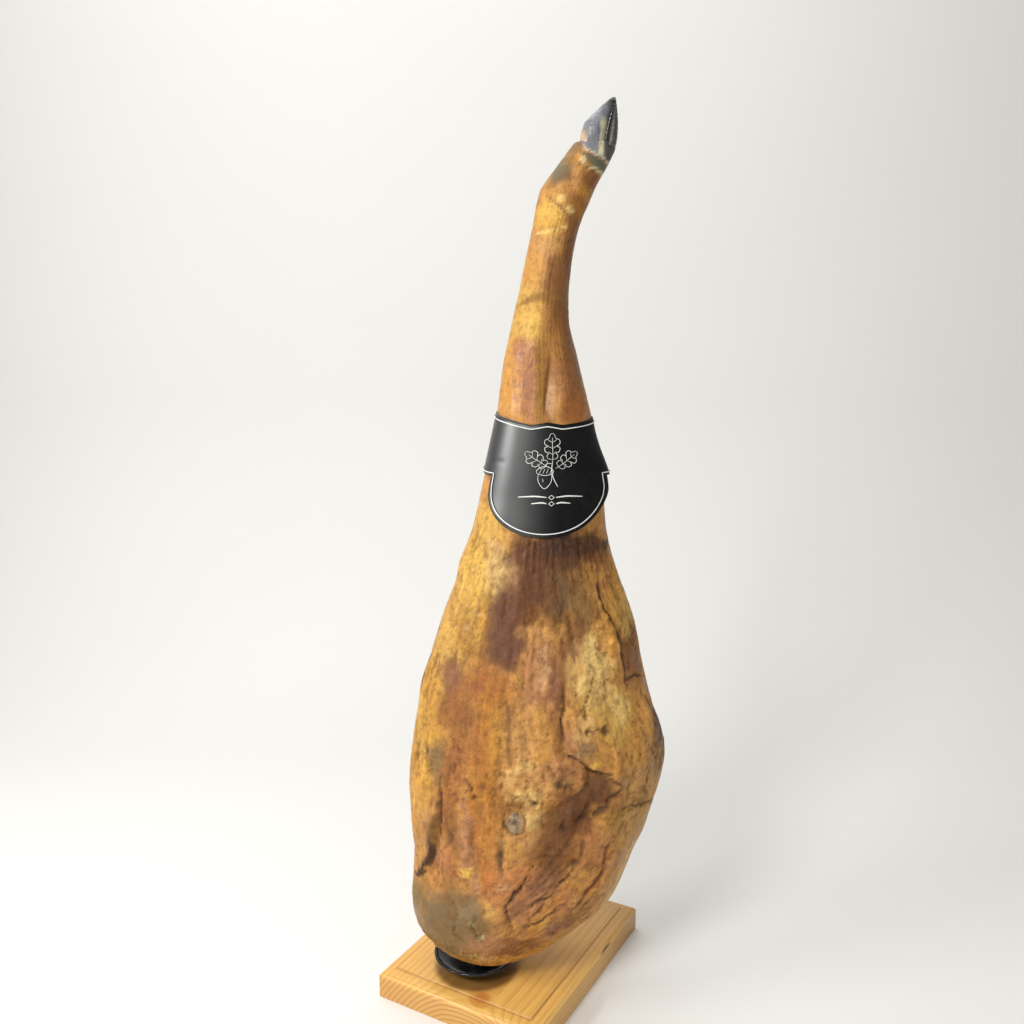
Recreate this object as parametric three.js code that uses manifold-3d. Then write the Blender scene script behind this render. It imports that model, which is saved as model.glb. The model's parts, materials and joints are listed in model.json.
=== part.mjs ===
// A cured ham standing on its butcher's display stand.
//
// The stand is a moulded pine board. A steel spike stands in two nylon bushes near one end of the
// board and carries a small black drip dish, so dish, spike and ham turn together. The ham is
// impaled on the spike and lifts off it. A printed card cuff closes round the shank with a press
// snap and slides up it. Inside the meat lie the leg's bones, in one channel that is open where
// the hip bone is bared and at the hoof.
//
// Millimetres, +Z up. The origin is the centre of the board's underside. +X is the board's short
// side and +Y its long side. Inside the turned group the spike's axis is x = y = 0, x runs across
// the ham and -y is the side where the meat is bared.

import * as THREE from 'three';
import { mergeVertices } from 'three/addons/utils/BufferGeometryUtils.js';
import Module from 'manifold-3d';

const wasm = await Module();
wasm.setup();

// ---------------------------------------------------------------- driving dimensions

const GAP = 0.3; // left between faces that touch on the real object
const TURNED_SIDES = 28; // flats round a turned piece

// board
const BOARD_WIDTH = 175;
const BOARD_LENGTH = 230;
const BOARD_THICKNESS = 28;
const PANEL_INSET = 13.5; // from the board's side to the raised middle panel
const STEP_WIDTH = 1.6; // small square step round the panel
const STEP_DEPTH = 1.4;
const ARRIS_DROP = 6.5; // how far the moulding's outer edge lies below the panel
const COVE_STEPS = 5;

// spike, with its foot turned down into the board's bushes
const SPIKE_X = -12;
const SPIKE_Y = -57;
const SPIKE_RADIUS = 6;
const SPIKE_ABOVE_BOARD = 202;
const SPIKE_POINT = 38; // length of the tapered point
const SPIKE_POINT_RADIUS = 0.8;
const SPIKE_FOOT_CLEARANCE = 2.4; // from the board's underside to the spike's lower end

// bushes, nuts and washers
const RUNNING_CLEARANCE = 0.2;
const BUSH_WALL = 2.8;
const BUSH_FLANGE_RADIUS = 14;
const BUSH_FLANGE = 2;
const WASHER_RADIUS = 15;
const WASHER_THICKNESS = 1.5;
const NUT_ACROSS_FLATS = 18;
const NUT_HEIGHT = 6;
const POCKET_DEPTH = 14; // of the pocket in the underside that hides the lock nut
const POCKET_CLEARANCE = 2;

// dish
const DISH_RADIUS = 41;
const DISH_HEIGHT = 9.6;
const DISH_SHEET = 1.5;
const DISH_FLOOR_RADIUS = 21;
const DISH_BEAD_RADIUS = 1.3;
const DISH_SIDES = 36;

// ham
const HAM_TURN = THREE.MathUtils.degToRad(29.7); // of the ham's broad side to the board's end
const HAM_LENGTH = 796; // butt to hoof tip
const HAM_WIDTH = 242;
const HAM_DEPTH = 150;
const HAM_SEAT = 1; // from the dish's rim to the ham's lowest point
const HAM_SIDES = 24;
const HAM_RINGS = 26;
const BORE_CLEARANCE = 0.6;
const BONE_CLEARANCE = 0.5;
const BONE_SIDES = 10;
const CAPSULE_RADIUS = 5; // hollow joint capsules that link the bones' channels
const HOOF_BASE = 94.6; // height of the hoof's base, as a percentage of the ham's length
const CLEFT_WIDTH = 1.6;

// cuff
const CUFF_BOTTOM = 471; // height above the ham's lowest point, of the band round the shank
const CUFF_HEIGHT = 54;
const CUFF_THICKNESS = 1;
const CUFF_CLEARANCE = 0.6;
const CUFF_BACK_SLACK = 4.5; // extra room behind the shank, where the snap's socket lies
const SHIELD_DROP = 44; // how far the shield hangs below the band
const SHIELD_HALF_WIDTH = 51;
const SHIELD_SHOULDER = 8;
const SHIELD_SHIFT = 4; // of the shield's middle to the shank's middle
const CUFF_TOP_DIP = 6.5; // of the top edge in front
const CUFF_ARCH_HALF_WIDTH = 13;
const SNAP_RADIUS = 5.5;
const SNAP_POST_RADIUS = 2;
const SNAP_PLATE = 1.4;

// ---------------------------------------------------------------- derived heights

const BOARD_TOP = BOARD_THICKNESS;
const BUSH_BORE = SPIKE_RADIUS + RUNNING_CLEARANCE;
const BUSH_RADIUS = BUSH_BORE + BUSH_WALL;
const BUSH_SPLIT = (BOARD_TOP + POCKET_DEPTH) / 2; // where the two bushes meet in the board
const UPPER_FLANGE_Z = BOARD_TOP + GAP;
const DISH_WASHER_Z = UPPER_FLANGE_Z + BUSH_FLANGE + GAP;
const DISH_Z = DISH_WASHER_Z + WASHER_THICKNESS + GAP;
const JAM_NUT_Z = DISH_Z + DISH_SHEET + GAP;
const DISH_RIM_Z = DISH_Z + DISH_HEIGHT;
const LOWER_FLANGE_Z = POCKET_DEPTH - GAP - BUSH_FLANGE;
const RETAINING_WASHER_Z = LOWER_FLANGE_Z - GAP - WASHER_THICKNESS;
const LOCK_NUT_Z = RETAINING_WASHER_Z - GAP - NUT_HEIGHT;
const SPIKE_TOP = BOARD_TOP + SPIKE_ABOVE_BOARD;
const HAM_Z = Math.max(DISH_RIM_Z + HAM_SEAT, JAM_NUT_Z + NUT_HEIGHT + HAM_SEAT);

// ---------------------------------------------------------------- solids and meshes

// A closed geometry as a manifold solid, with its faces turned outwards.
function solid(geometry) {
  const bare = geometry.clone();
  for (const name of Object.keys(bare.attributes)) {
    if (name !== 'position') bare.deleteAttribute(name);
  }
  const merged = mergeVertices(bare, 1e-4);
  const points = merged.attributes.position.array;
  const faces = [];
  let volume = 0;
  for (let i = 0; i < merged.index.count; i += 3) {
    const [a, b, c] = merged.index.array.subarray(i, i + 3);
    if (a === b || b === c || c === a) continue;
    faces.push(a, b, c);
    const [pa, pb, pc] = [a, b, c].map((v) => new THREE.Vector3().fromArray(points, 3 * v));
    volume += pa.dot(pb.cross(pc));
  }
  if (volume < 0) faces.reverse();
  return new wasm.Manifold(new wasm.Mesh({
    numProp: 3,
    vertProperties: new Float32Array(points),
    triVerts: new Uint32Array(faces),
  }));
}

// A manifold solid as a flat-shaded geometry.
function geometryOf(manifold) {
  const { vertProperties, triVerts } = manifold.getMesh();
  const geometry = new THREE.BufferGeometry();
  geometry.setAttribute('position', new THREE.BufferAttribute(vertProperties, 3));
  geometry.setIndex(new THREE.BufferAttribute(triVerts, 1));
  const flat = geometry.toNonIndexed();
  flat.computeVertexNormals();
  return flat;
}

// A profile of [radius, height] pairs turned round Z.
function turned(profile, sides = TURNED_SIDES) {
  const points = profile.map(([radius, height]) => new THREE.Vector2(radius, height));
  return solid(new THREE.LatheGeometry(points, sides).rotateX(Math.PI / 2));
}

// A flat ring with a bore, standing from z upwards.
function ring(z, height, radius, bore, sides) {
  const profile = [[bore, z], [radius, z], [radius, z + height], [bore, z + height], [bore, z]];
  return turned(profile, sides);
}

// A plain cylinder from z upwards.
function disc(z, height, radius, sides) {
  return turned([[0, z], [radius, z], [radius, z + height], [0, z + height]], sides);
}

// Rings of equal point count joined by faces, with both ends closed by fans.
function lofted(rings) {
  const count = rings[0].length;
  const points = rings.flat();
  const faces = [];
  for (let r = 0; r + 1 < rings.length; r += 1) {
    for (let i = 0; i < count; i += 1) {
      const a = r * count + i;
      const b = r * count + ((i + 1) % count);
      faces.push(a, b, b + count, a, b + count, a + count);
    }
  }
  const last = (rings.length - 1) * count;
  for (let i = 1; i + 1 < count; i += 1) {
    faces.push(0, i + 1, i, last, last + i, last + i + 1);
  }
  const geometry = new THREE.BufferGeometry().setFromPoints(points);
  geometry.setIndex(faces);
  return solid(geometry);
}

// An outline drawn in x and z, extruded along y from one depth to another.
function pressedThroughY(shape, from, to, curveSegments = 12) {
  const options = { depth: to - from, bevelEnabled: false, curveSegments };
  const geometry = new THREE.ExtrudeGeometry(shape, options);
  return solid(geometry.rotateX(Math.PI / 2).translate(0, to, 0));
}

const FINISHES = {
  pine: { color: 0xc99a52, roughness: 0.5, metalness: 0 },
  black_enamel: { color: 0x0b0b0c, roughness: 0.18, metalness: 0.2 },
  steel: { color: 0xa9abad, roughness: 0.3, metalness: 1 },
  nylon: { color: 0xe9e6db, roughness: 0.55, metalness: 0 },
  cured_ham: { color: 0xa9662b, roughness: 0.42, metalness: 0 },
  bone: { color: 0xd8cbb0, roughness: 0.6, metalness: 0 },
  horn: { color: 0x5c6166, roughness: 0.4, metalness: 0 },
  printed_card: { color: 0x151516, roughness: 0.38, metalness: 0 },
  snap_plastic: { color: 0x1b1b1c, roughness: 0.25, metalness: 0 },
};

function piece(parent, name, manifold, finish) {
  const material = new THREE.MeshStandardMaterial(FINISHES[finish]);
  const mesh = new THREE.Mesh(geometryOf(manifold), material);
  mesh.name = name;
  parent.add(mesh);
  return mesh;
}

// ---------------------------------------------------------------- board and bushes

function boardRing(inset, z) {
  const x = BOARD_WIDTH / 2 - inset;
  const y = BOARD_LENGTH / 2 - inset;
  return [[-x, -y], [x, -y], [x, y], [-x, y]].map(([px, py]) => new THREE.Vector3(px, py, z));
}

// The moulding runs from the panel down a small step and a hollow cove to the arris.
function baseBoard() {
  const arrisZ = BOARD_TOP - ARRIS_DROP;
  const stepZ = BOARD_TOP - STEP_DEPTH;
  const coveInset = PANEL_INSET - STEP_WIDTH;
  const rings = [boardRing(0, 0), boardRing(0, arrisZ)];
  for (let i = 1; i <= COVE_STEPS; i += 1) {
    const angle = (i / COVE_STEPS) * (Math.PI / 2);
    const inset = coveInset * Math.sin(angle);
    rings.push(boardRing(inset, arrisZ + (stepZ - arrisZ) * (1 - Math.cos(angle))));
  }
  rings.push(boardRing(PANEL_INSET, stepZ), boardRing(PANEL_INSET, BOARD_TOP));
  const pocketRadius = Math.max(WASHER_RADIUS, BUSH_FLANGE_RADIUS) + POCKET_CLEARANCE;
  const hole = disc(-1, BOARD_TOP + 2, BUSH_RADIUS + GAP)
    .add(disc(-1, POCKET_DEPTH + 1, pocketRadius))
    .translate([SPIKE_X, SPIKE_Y, 0]);
  return lofted(rings).subtract(hole);
}

function upperBush() {
  const sleeveZ = BUSH_SPLIT + GAP;
  const sleeve = ring(sleeveZ, UPPER_FLANGE_Z - sleeveZ + BUSH_FLANGE, BUSH_RADIUS, BUSH_BORE);
  return sleeve.add(ring(UPPER_FLANGE_Z, BUSH_FLANGE, BUSH_FLANGE_RADIUS, BUSH_BORE));
}

function lowerBush() {
  const sleeve = ring(LOWER_FLANGE_Z, BUSH_SPLIT - LOWER_FLANGE_Z, BUSH_RADIUS, BUSH_BORE);
  return sleeve.add(ring(LOWER_FLANGE_Z, BUSH_FLANGE, BUSH_FLANGE_RADIUS, BUSH_BORE));
}

// ---------------------------------------------------------------- what turns on the board

// The spike's outline, or with grow the bore that clears it.
function spikeSolid(bottom, grow = 0) {
  const shoulder = SPIKE_TOP - SPIKE_POINT;
  return turned([
    [0, bottom],
    [SPIKE_RADIUS + grow, bottom],
    [SPIKE_RADIUS + grow, shoulder],
    [SPIKE_RADIUS * 0.72 + grow, shoulder + SPIKE_POINT * 0.45],
    [SPIKE_POINT_RADIUS + grow, SPIKE_TOP + grow],
    [0, SPIKE_TOP + 2 * grow],
  ]);
}

// A shallow pressed bowl with a rolled bead on its rim and a hole for the spike.
function dish() {
  const rimRadius = DISH_RADIUS - DISH_BEAD_RADIUS;
  const rimZ = DISH_RIM_Z - DISH_BEAD_RADIUS;
  const under = new THREE.QuadraticBezierCurve(
    new THREE.Vector2(DISH_FLOOR_RADIUS, DISH_Z),
    new THREE.Vector2(rimRadius - 5, DISH_Z + 0.6),
    new THREE.Vector2(rimRadius, rimZ),
  ).getPoints(5).map((p) => [p.x, p.y]);
  const inside = under.slice().reverse().map(([r, z]) => [r - DISH_SHEET * 0.5, z + DISH_SHEET]);
  const bore = SPIKE_RADIUS + GAP;
  const bowl = turned([
    [bore, DISH_Z],
    ...under,
    ...inside,
    [bore, DISH_Z + DISH_SHEET],
    [bore, DISH_Z],
  ], DISH_SIDES);
  const beadSection = [];
  for (let i = 0; i <= 6; i += 1) {
    const angle = (i / 6) * 2 * Math.PI;
    const r = rimRadius + DISH_BEAD_RADIUS * Math.cos(angle);
    beadSection.push([r, rimZ + DISH_BEAD_RADIUS * Math.sin(angle)]);
  }
  return bowl.add(turned(beadSection, DISH_SIDES));
}

// A hexagon nut with chamfered corners, standing from z upwards.
function hexNut(z) {
  const corner = NUT_ACROSS_FLATS / Math.sqrt(3);
  const hexagon = disc(z, NUT_HEIGHT, corner, 6);
  const flat = NUT_ACROSS_FLATS / 2;
  const chamfer = turned([
    [0, z],
    [flat, z],
    [corner, z + 0.9],
    [corner, z + NUT_HEIGHT - 0.9],
    [flat, z + NUT_HEIGHT],
    [0, z + NUT_HEIGHT],
  ]);
  return hexagon.intersect(chamfer).subtract(disc(z - 1, NUT_HEIGHT + 2, SPIKE_RADIUS + GAP));
}

function washer(z) {
  return ring(z, WASHER_THICKNESS, WASHER_RADIUS, SPIKE_RADIUS + GAP);
}

// ---------------------------------------------------------------- the ham's form

// Cross-sections from butt to hoof: height as a percentage of the length, then the left and
// right edges as percentages of the width and the bared and skin sides as percentages of the
// depth, all from the spike's axis.
const SECTIONS = [
  [0, -10, 12, -20, 15],
  [0.4, -15.5, 17, -25, 21],
  [1.4, -20.5, 23, -30, 28],
  [2.9, -23.5, 31.5, -34, 34],
  [4.6, -25, 40, -38, 40],
  [7.7, -25.5, 53, -43, 46],
  [11.7, -25, 61, -46, 50],
  [16.8, -25, 68, -48, 52],
  [22, -26, 72.5, -48, 52],
  [27, -24, 73.5, -46, 52],
  [34.5, -20.5, 67.5, -42, 49],
  [41.8, -13, 61.5, -37, 44],
  [46.6, -6.5, 56, -34, 40],
  [52.5, 0, 50.5, -30, 35],
  [57.8, 3.5, 49, -28, 31],
  [64.7, 8.5, 45, -24.5, 26.5],
  [71.5, 11.5, 39.5, -19, 21],
  [76.4, 15, 35.5, -16.5, 18.5],
  [81.3, 18.5, 36, -15, 17],
  [86.2, 22, 39, -14.5, 16.5],
  [90.3, 25, 44.5, -14, 16],
  [92.6, 30.5, 48.5, -13.5, 15],
  [HOOF_BASE, 35, 51, -12.5, 14],
];

// A smooth value between the sections, at a height in percent.
function sectionValue(height, column) {
  const last = SECTIONS.length - 1;
  let i = SECTIONS.findIndex((row) => row[0] > height) - 1;
  if (i < 0) i = height < SECTIONS[1][0] ? 0 : last - 1;
  const row = (k) => SECTIONS[THREE.MathUtils.clamp(k, 0, last)];
  const slope = (k) => {
    const [before, after] = [row(k - 1), row(k + 1)];
    return (after[column] - before[column]) / (after[0] - before[0]);
  };
  const span = row(i + 1)[0] - row(i)[0];
  const t = THREE.MathUtils.clamp((height - row(i)[0]) / span, 0, 1);
  const bend = t * t * (3 - 2 * t);
  const start = t * (1 - t) * (1 - t) * span * slope(i);
  const end = t * t * (1 - t) * span * slope(i + 1);
  return row(i)[column] * (1 - bend) + row(i + 1)[column] * bend + start - end;
}

// The edges of the section at a height in millimetres above the board's underside.
function sectionAt(z) {
  const height = (100 * (z - HAM_Z)) / HAM_LENGTH;
  const across = (column) => (HAM_WIDTH / 100) * sectionValue(height, column);
  const through = (column) => (HAM_DEPTH / 100) * sectionValue(height, column);
  return { left: across(1), right: across(2), bared: through(3), skin: through(4) };
}

// One ring of the ham's surface, moved outwards by grow and further by slack behind.
function hamRing(z, grow = 0, slack = 0) {
  const { left, right, bared, skin } = sectionAt(z);
  const middle = (left + right) / 2;
  const halfWidth = (right - left) / 2 + grow;
  const points = [];
  for (let i = 0; i < HAM_SIDES; i += 1) {
    const angle = (2 * Math.PI * i) / HAM_SIDES;
    const depth = Math.sin(angle) < 0 ? grow - bared : skin + grow + slack;
    const x = middle + halfWidth * Math.cos(angle);
    points.push(new THREE.Vector3(x, depth * Math.sin(angle), z));
  }
  return points;
}

// A point inside the ham from percentages of its width, depth and length.
function inHam(x, y, z) {
  const share = new THREE.Vector3(HAM_WIDTH * x, HAM_DEPTH * y, HAM_LENGTH * z);
  return share.divideScalar(100).add(new THREE.Vector3(0, 0, HAM_Z));
}

// Ring heights, in percent of the length: close together where the butt rounds in.
const BUTT_HEIGHTS = [0, 0.4, 0.9, 1.4, 2.1, 2.9, 3.8];
const BUTT_TOP = 4.6;

// The whole outer form, or with grow and slack the same form a little larger.
function hamForm(grow = 0, slack = 0) {
  const heights = [...BUTT_HEIGHTS];
  for (let i = 0; i <= HAM_RINGS; i += 1) {
    heights.push(BUTT_TOP + ((HOOF_BASE - BUTT_TOP) * i) / HAM_RINGS);
  }
  const rings = heights.map((height) => {
    return hamRing(HAM_Z + (HAM_LENGTH * height) / 100, grow, slack);
  });
  return lofted(rings);
}

// ---------------------------------------------------------------- bones

// A bone turned about the line between two points: [share of its length, radius] pairs, grown
// on every side by grow when it cuts its channel.
function bone(profile, from, to, grow = 0) {
  const along = to.clone().sub(from);
  const length = along.length();
  const outline = [[0, -grow]];
  for (const [share, radius] of profile) {
    const end = share === 0 ? -grow : share === 1 ? grow : 0;
    outline.push([radius + grow, share * length + end]);
  }
  outline.push([0, length + grow]);
  const up = new THREE.Vector3(0, 0, 1);
  const turn = new THREE.Quaternion().setFromUnitVectors(up, along.normalize());
  const place = new THREE.Matrix4().compose(from, turn, new THREE.Vector3(1, 1, 1));
  return turned(outline, BONE_SIDES).transform(place.toArray());
}

const KNUCKLE_AT = [0, 0.06, 0.16]; // where an end's swelling begins, peaks and has faded

// A long bone with a swelling at each end.
function longBone(lower, shaft, upper) {
  const [begin, peak, faded] = KNUCKLE_AT;
  return [
    [begin, lower * 0.7],
    [peak, lower],
    [faded, (lower + shaft) / 2],
    [0.3, shaft],
    [0.7, shaft],
    [1 - faded, (upper + shaft) / 2],
    [1 - peak, upper],
    [1 - begin, upper * 0.7],
  ];
}

const SHORT_BONE = (radius) => [[0, radius * 0.6], [0.3, radius], [0.7, radius], [1, radius * 0.6]];

const HOOF_Z = HAM_Z + (HAM_LENGTH * HOOF_BASE) / 100;

const BONES = {
  hip_bone: [[[0, 8], [0.12, 10.5], [0.6, 9], [1, 12]], inHam(16, -49.3, 21), inHam(21, -22, 20.3)],
  femur: [longBone(17, 10.5, 20), inHam(24, -7, 20.2), inHam(39, 1, 44.2)],
  patella: [SHORT_BONE(8), inHam(51, -1, 43.6), inHam(50, -1, 47)],
  tibia: [longBone(18, 9, 12), inHam(38, 1, 45.2), inHam(26.5, 1, 69.6)],
  fibula: [longBone(4.5, 3.2, 4), inHam(46.5, 5, 50), inHam(34.5, 3, 67.5)],
  calcaneus: [longBone(6, 5, 6), inHam(26, 14.5, 67), inHam(25.5, 13, 71)],
  tarsal_bone: [SHORT_BONE(13), inHam(25.8, 0, 70.4), inHam(25.4, 0, 73.2)],
  metatarsal_left: [longBone(6.5, 5.4, 6.5), inHam(22.3, 0, 74), inHam(27, 0, 86.1)],
  metatarsal_right: [longBone(6.5, 5.4, 6.5), inHam(28.6, 0, 74), inHam(33.2, 0, 86.1)],
  phalanx_left: [longBone(6, 5, 6), inHam(27.6, 0, 87), inHam(38.6, 0, 93.9)],
  phalanx_right: [longBone(6, 5, 6), inHam(34.1, 0, 87), inHam(46, 0, 93.9)],
};

// Points where neighbouring bones meet.
const CAPSULES = [
  inHam(22.3, -19, 20.3),
  inHam(39, 1, 44.7),
  inHam(46.5, -1, 43.8),
  inHam(44, 4, 50.5),
  inHam(33, 3, 67.8),
  inHam(26, 9, 69.5),
  inHam(26, 1, 70),
  inHam(24.5, 0, 73.6),
  inHam(27, 0, 73.6),
  inHam(27.3, 0, 86.5),
  inHam(33.6, 0, 86.5),
];

function boneChannel() {
  const cuts = Object.values(BONES).map(([profile, from, to]) => {
    return bone(profile, from, to, BONE_CLEARANCE);
  });
  const capsule = solid(new THREE.SphereGeometry(CAPSULE_RADIUS, 8, 6));
  const links = CAPSULES.map((point) => capsule.translate(point.toArray()));
  const hoofEnds = ['phalanx_left', 'phalanx_right'].map((name) => {
    const [, from, to] = BONES[name];
    const beyond = to.clone().add(to.clone().sub(from).multiplyScalar(0.3));
    return bone([[0, 4], [1, 4]], to, beyond);
  });
  return [...cuts, ...links, ...hoofEnds].reduce((all, part) => all.add(part));
}

function hamBody() {
  const bore = spikeSolid(HAM_Z - 1, BORE_CLEARANCE);
  return hamForm().subtract(bore).subtract(boneChannel());
}

// ---------------------------------------------------------------- hoof

// The hoof's outline seen from the bared side, from its base plane to the tip.
function hoofOutline() {
  const outline = [[39.5, 94.7], [40.3, 97.3], [50.8, 100], [52.3, 97.1], [52, 94.7]];
  const shape = new THREE.Shape();
  outline.map(([x, z]) => inHam(x, 0, z)).forEach((point, i) => {
    if (i === 0) shape.moveTo(point.x, Math.max(point.z, HOOF_Z + GAP));
    else shape.lineTo(point.x, Math.max(point.z, HOOF_Z + GAP));
  });
  return shape;
}

// Left or right claw: the hoof's block cut by the cleft and rounded by an oval section.
function claw(side) {
  const halfDepth = 16;
  const block = pressedThroughY(hoofOutline(), -halfDepth, halfDepth);
  const middle = inHam(46.5, 0, 97);
  const oval = solid(new THREE.SphereGeometry(1, 16, 12).scale(20, halfDepth, 34))
    .translate(middle.toArray());
  const cleft = inHam(48, 0, 0).x + (side * CLEFT_WIDTH) / 2;
  const reach = 100;
  const half = new THREE.BoxGeometry(reach, reach, HAM_LENGTH);
  half.translate(cleft + (side * reach) / 2, 0, HOOF_Z);
  return block.intersect(oval).intersect(solid(half));
}

// A small horn on the back of the foot, seated against the skin.
function dewclaw(x) {
  const profile = [[0, 6], [0.35, 5.6], [0.75, 3.2], [1, 0.8]];
  const horn = bone(profile, inHam(x, 14, 86), inHam(x + 2, 23, 89.5));
  return horn.subtract(hamForm(GAP));
}

// ---------------------------------------------------------------- cuff

const CUFF_BOTTOM_Z = HAM_Z + CUFF_BOTTOM;
const CUFF_TOP_Z = CUFF_BOTTOM_Z + CUFF_HEIGHT;
const CUFF_MIDDLE_Z = CUFF_BOTTOM_Z + CUFF_HEIGHT / 2;

// The card's outline in front: the band with a dipped, arched top, and the shield below it.
function cuffFrontOutline() {
  const { left, right } = sectionAt(CUFF_BOTTOM_Z);
  const middle = (left + right) / 2 + SHIELD_SHIFT;
  const far = HAM_WIDTH;
  const dipZ = CUFF_TOP_Z - CUFF_TOP_DIP;
  const shape = new THREE.Shape();
  shape.moveTo(-far, CUFF_BOTTOM_Z);
  shape.lineTo(middle - SHIELD_HALF_WIDTH, CUFF_BOTTOM_Z);
  shape.lineTo(middle - SHIELD_HALF_WIDTH, CUFF_BOTTOM_Z - SHIELD_SHOULDER);
  shape.absellipse(
    middle,
    CUFF_BOTTOM_Z - SHIELD_SHOULDER,
    SHIELD_HALF_WIDTH,
    SHIELD_DROP,
    Math.PI,
    2 * Math.PI,
    false,
  );
  shape.lineTo(middle + SHIELD_HALF_WIDTH, CUFF_BOTTOM_Z);
  shape.lineTo(far, CUFF_BOTTOM_Z);
  shape.lineTo(far, CUFF_TOP_Z);
  shape.lineTo(right, CUFF_TOP_Z);
  shape.lineTo(middle + CUFF_ARCH_HALF_WIDTH, dipZ);
  shape.quadraticCurveTo(middle, dipZ + 4, middle - CUFF_ARCH_HALF_WIDTH, dipZ);
  shape.lineTo(left, CUFF_TOP_Z);
  shape.lineTo(-far, CUFF_TOP_Z);
  shape.closePath();
  return shape;
}

// The card's face behind the shank, dx across and dz up from the snap's centre.
function cardBack(dx, dz, grow) {
  const { left, right, skin } = sectionAt(CUFF_MIDDLE_Z + dz);
  const halfWidth = (right - left) / 2 + grow;
  return (skin + grow + CUFF_BACK_SLACK) * Math.sqrt(1 - (dx / halfWidth) ** 2);
}

// Where the snap's two plates lie: clear of the card's curve and of its taper.
function snapFaces() {
  const facet = (HAM_WIDTH / 4) * (1 - Math.cos(Math.PI / HAM_SIDES));
  const inner = cardBack(SNAP_RADIUS, SNAP_RADIUS, CUFF_CLEARANCE) - facet - GAP;
  const outer = cardBack(0, -SNAP_RADIUS, CUFF_CLEARANCE + CUFF_THICKNESS) + GAP;
  return { inner, outer };
}

// A disc or post of the snap, its axis along y, from one depth to another.
function snapDisc(radius, from, to) {
  const { left, right } = sectionAt(CUFF_MIDDLE_Z);
  const body = disc(0, to - from, radius, 24).rotate([-90, 0, 0]);
  return body.translate([(left + right) / 2, from, CUFF_MIDDLE_Z]);
}

function labelCuff() {
  const inside = hamForm(CUFF_CLEARANCE, CUFF_BACK_SLACK);
  const shell = hamForm(CUFF_CLEARANCE + CUFF_THICKNESS, CUFF_BACK_SLACK).subtract(inside);
  const front = pressedThroughY(cuffFrontOutline(), -HAM_DEPTH, 0.01);
  const band = new THREE.BoxGeometry(2 * HAM_WIDTH, HAM_DEPTH, CUFF_HEIGHT);
  band.translate(0, HAM_DEPTH / 2, CUFF_MIDDLE_Z);
  const { inner, outer } = snapFaces();
  const hole = snapDisc(SNAP_POST_RADIUS + GAP, inner - SNAP_RADIUS, outer + SNAP_RADIUS);
  return shell.intersect(front.add(solid(band))).subtract(hole);
}

// The cap lies outside the card with its post through it.
function snapCap() {
  const { inner, outer } = snapFaces();
  const post = snapDisc(SNAP_POST_RADIUS, inner - SNAP_PLATE / 2, outer + SNAP_PLATE / 2);
  return snapDisc(SNAP_RADIUS, outer, outer + SNAP_PLATE).add(post);
}

// The socket lies inside the card, in the slack behind the shank.
function snapSocket() {
  const { inner } = snapFaces();
  const plate = snapDisc(SNAP_RADIUS - 1, inner - SNAP_PLATE, inner);
  return plate.subtract(snapDisc(SNAP_POST_RADIUS + GAP, inner - SNAP_PLATE / 2 - GAP, inner + 1));
}

// ---------------------------------------------------------------- assembly

const stand = new THREE.Group();
piece(stand, 'base_board', baseBoard(), 'pine');

const spindleAxis = new THREE.Group();
spindleAxis.position.set(SPIKE_X, SPIKE_Y, 0);
spindleAxis.rotation.z = HAM_TURN;
stand.add(spindleAxis);

piece(spindleAxis, 'bush_upper', upperBush(), 'nylon');
piece(spindleAxis, 'bush_lower', lowerBush(), 'nylon');
piece(spindleAxis, 'spike', spikeSolid(SPIKE_FOOT_CLEARANCE), 'steel');
piece(spindleAxis, 'drip_dish', dish(), 'black_enamel');
piece(spindleAxis, 'dish_washer', washer(DISH_WASHER_Z), 'steel');
piece(spindleAxis, 'jam_nut', hexNut(JAM_NUT_Z), 'steel');
piece(spindleAxis, 'retaining_washer', washer(RETAINING_WASHER_Z), 'steel');
piece(spindleAxis, 'lock_nut', hexNut(LOCK_NUT_Z), 'steel');

const ham = new THREE.Group();
spindleAxis.add(ham);
piece(ham, 'ham_body', hamBody(), 'cured_ham');
for (const [name, [profile, from, to]] of Object.entries(BONES)) {
  piece(ham, name, bone(profile, from, to), 'bone');
}
piece(ham, 'claw_left', claw(-1), 'horn');
piece(ham, 'claw_right', claw(1), 'horn');
piece(ham, 'dewclaw_left', dewclaw(27.5), 'horn');
piece(ham, 'dewclaw_right', dewclaw(35.5), 'horn');

const cuff = new THREE.Group();
ham.add(cuff);
piece(cuff, 'label_cuff', labelCuff(), 'printed_card');
piece(cuff, 'snap_cap', snapCap(), 'snap_plastic');
piece(cuff, 'snap_socket', snapSocket(), 'snap_plastic');

export default stand;
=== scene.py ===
# %% [markdown]
# # A cured ham on its display stand
# This lesson dresses a fixed engineering frame. The frame already holds every part at its real
# size and place, and it can turn and lift them. Here each part gets the surface a visitor sees:
# turned steel, moulded pine, a printed card cuff, and a leg of cured meat sculpted in code.

# %% Load the frame
import json
import math

import bmesh
import bpy
import numpy as np
from mathutils import Matrix, Vector, noise


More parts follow.
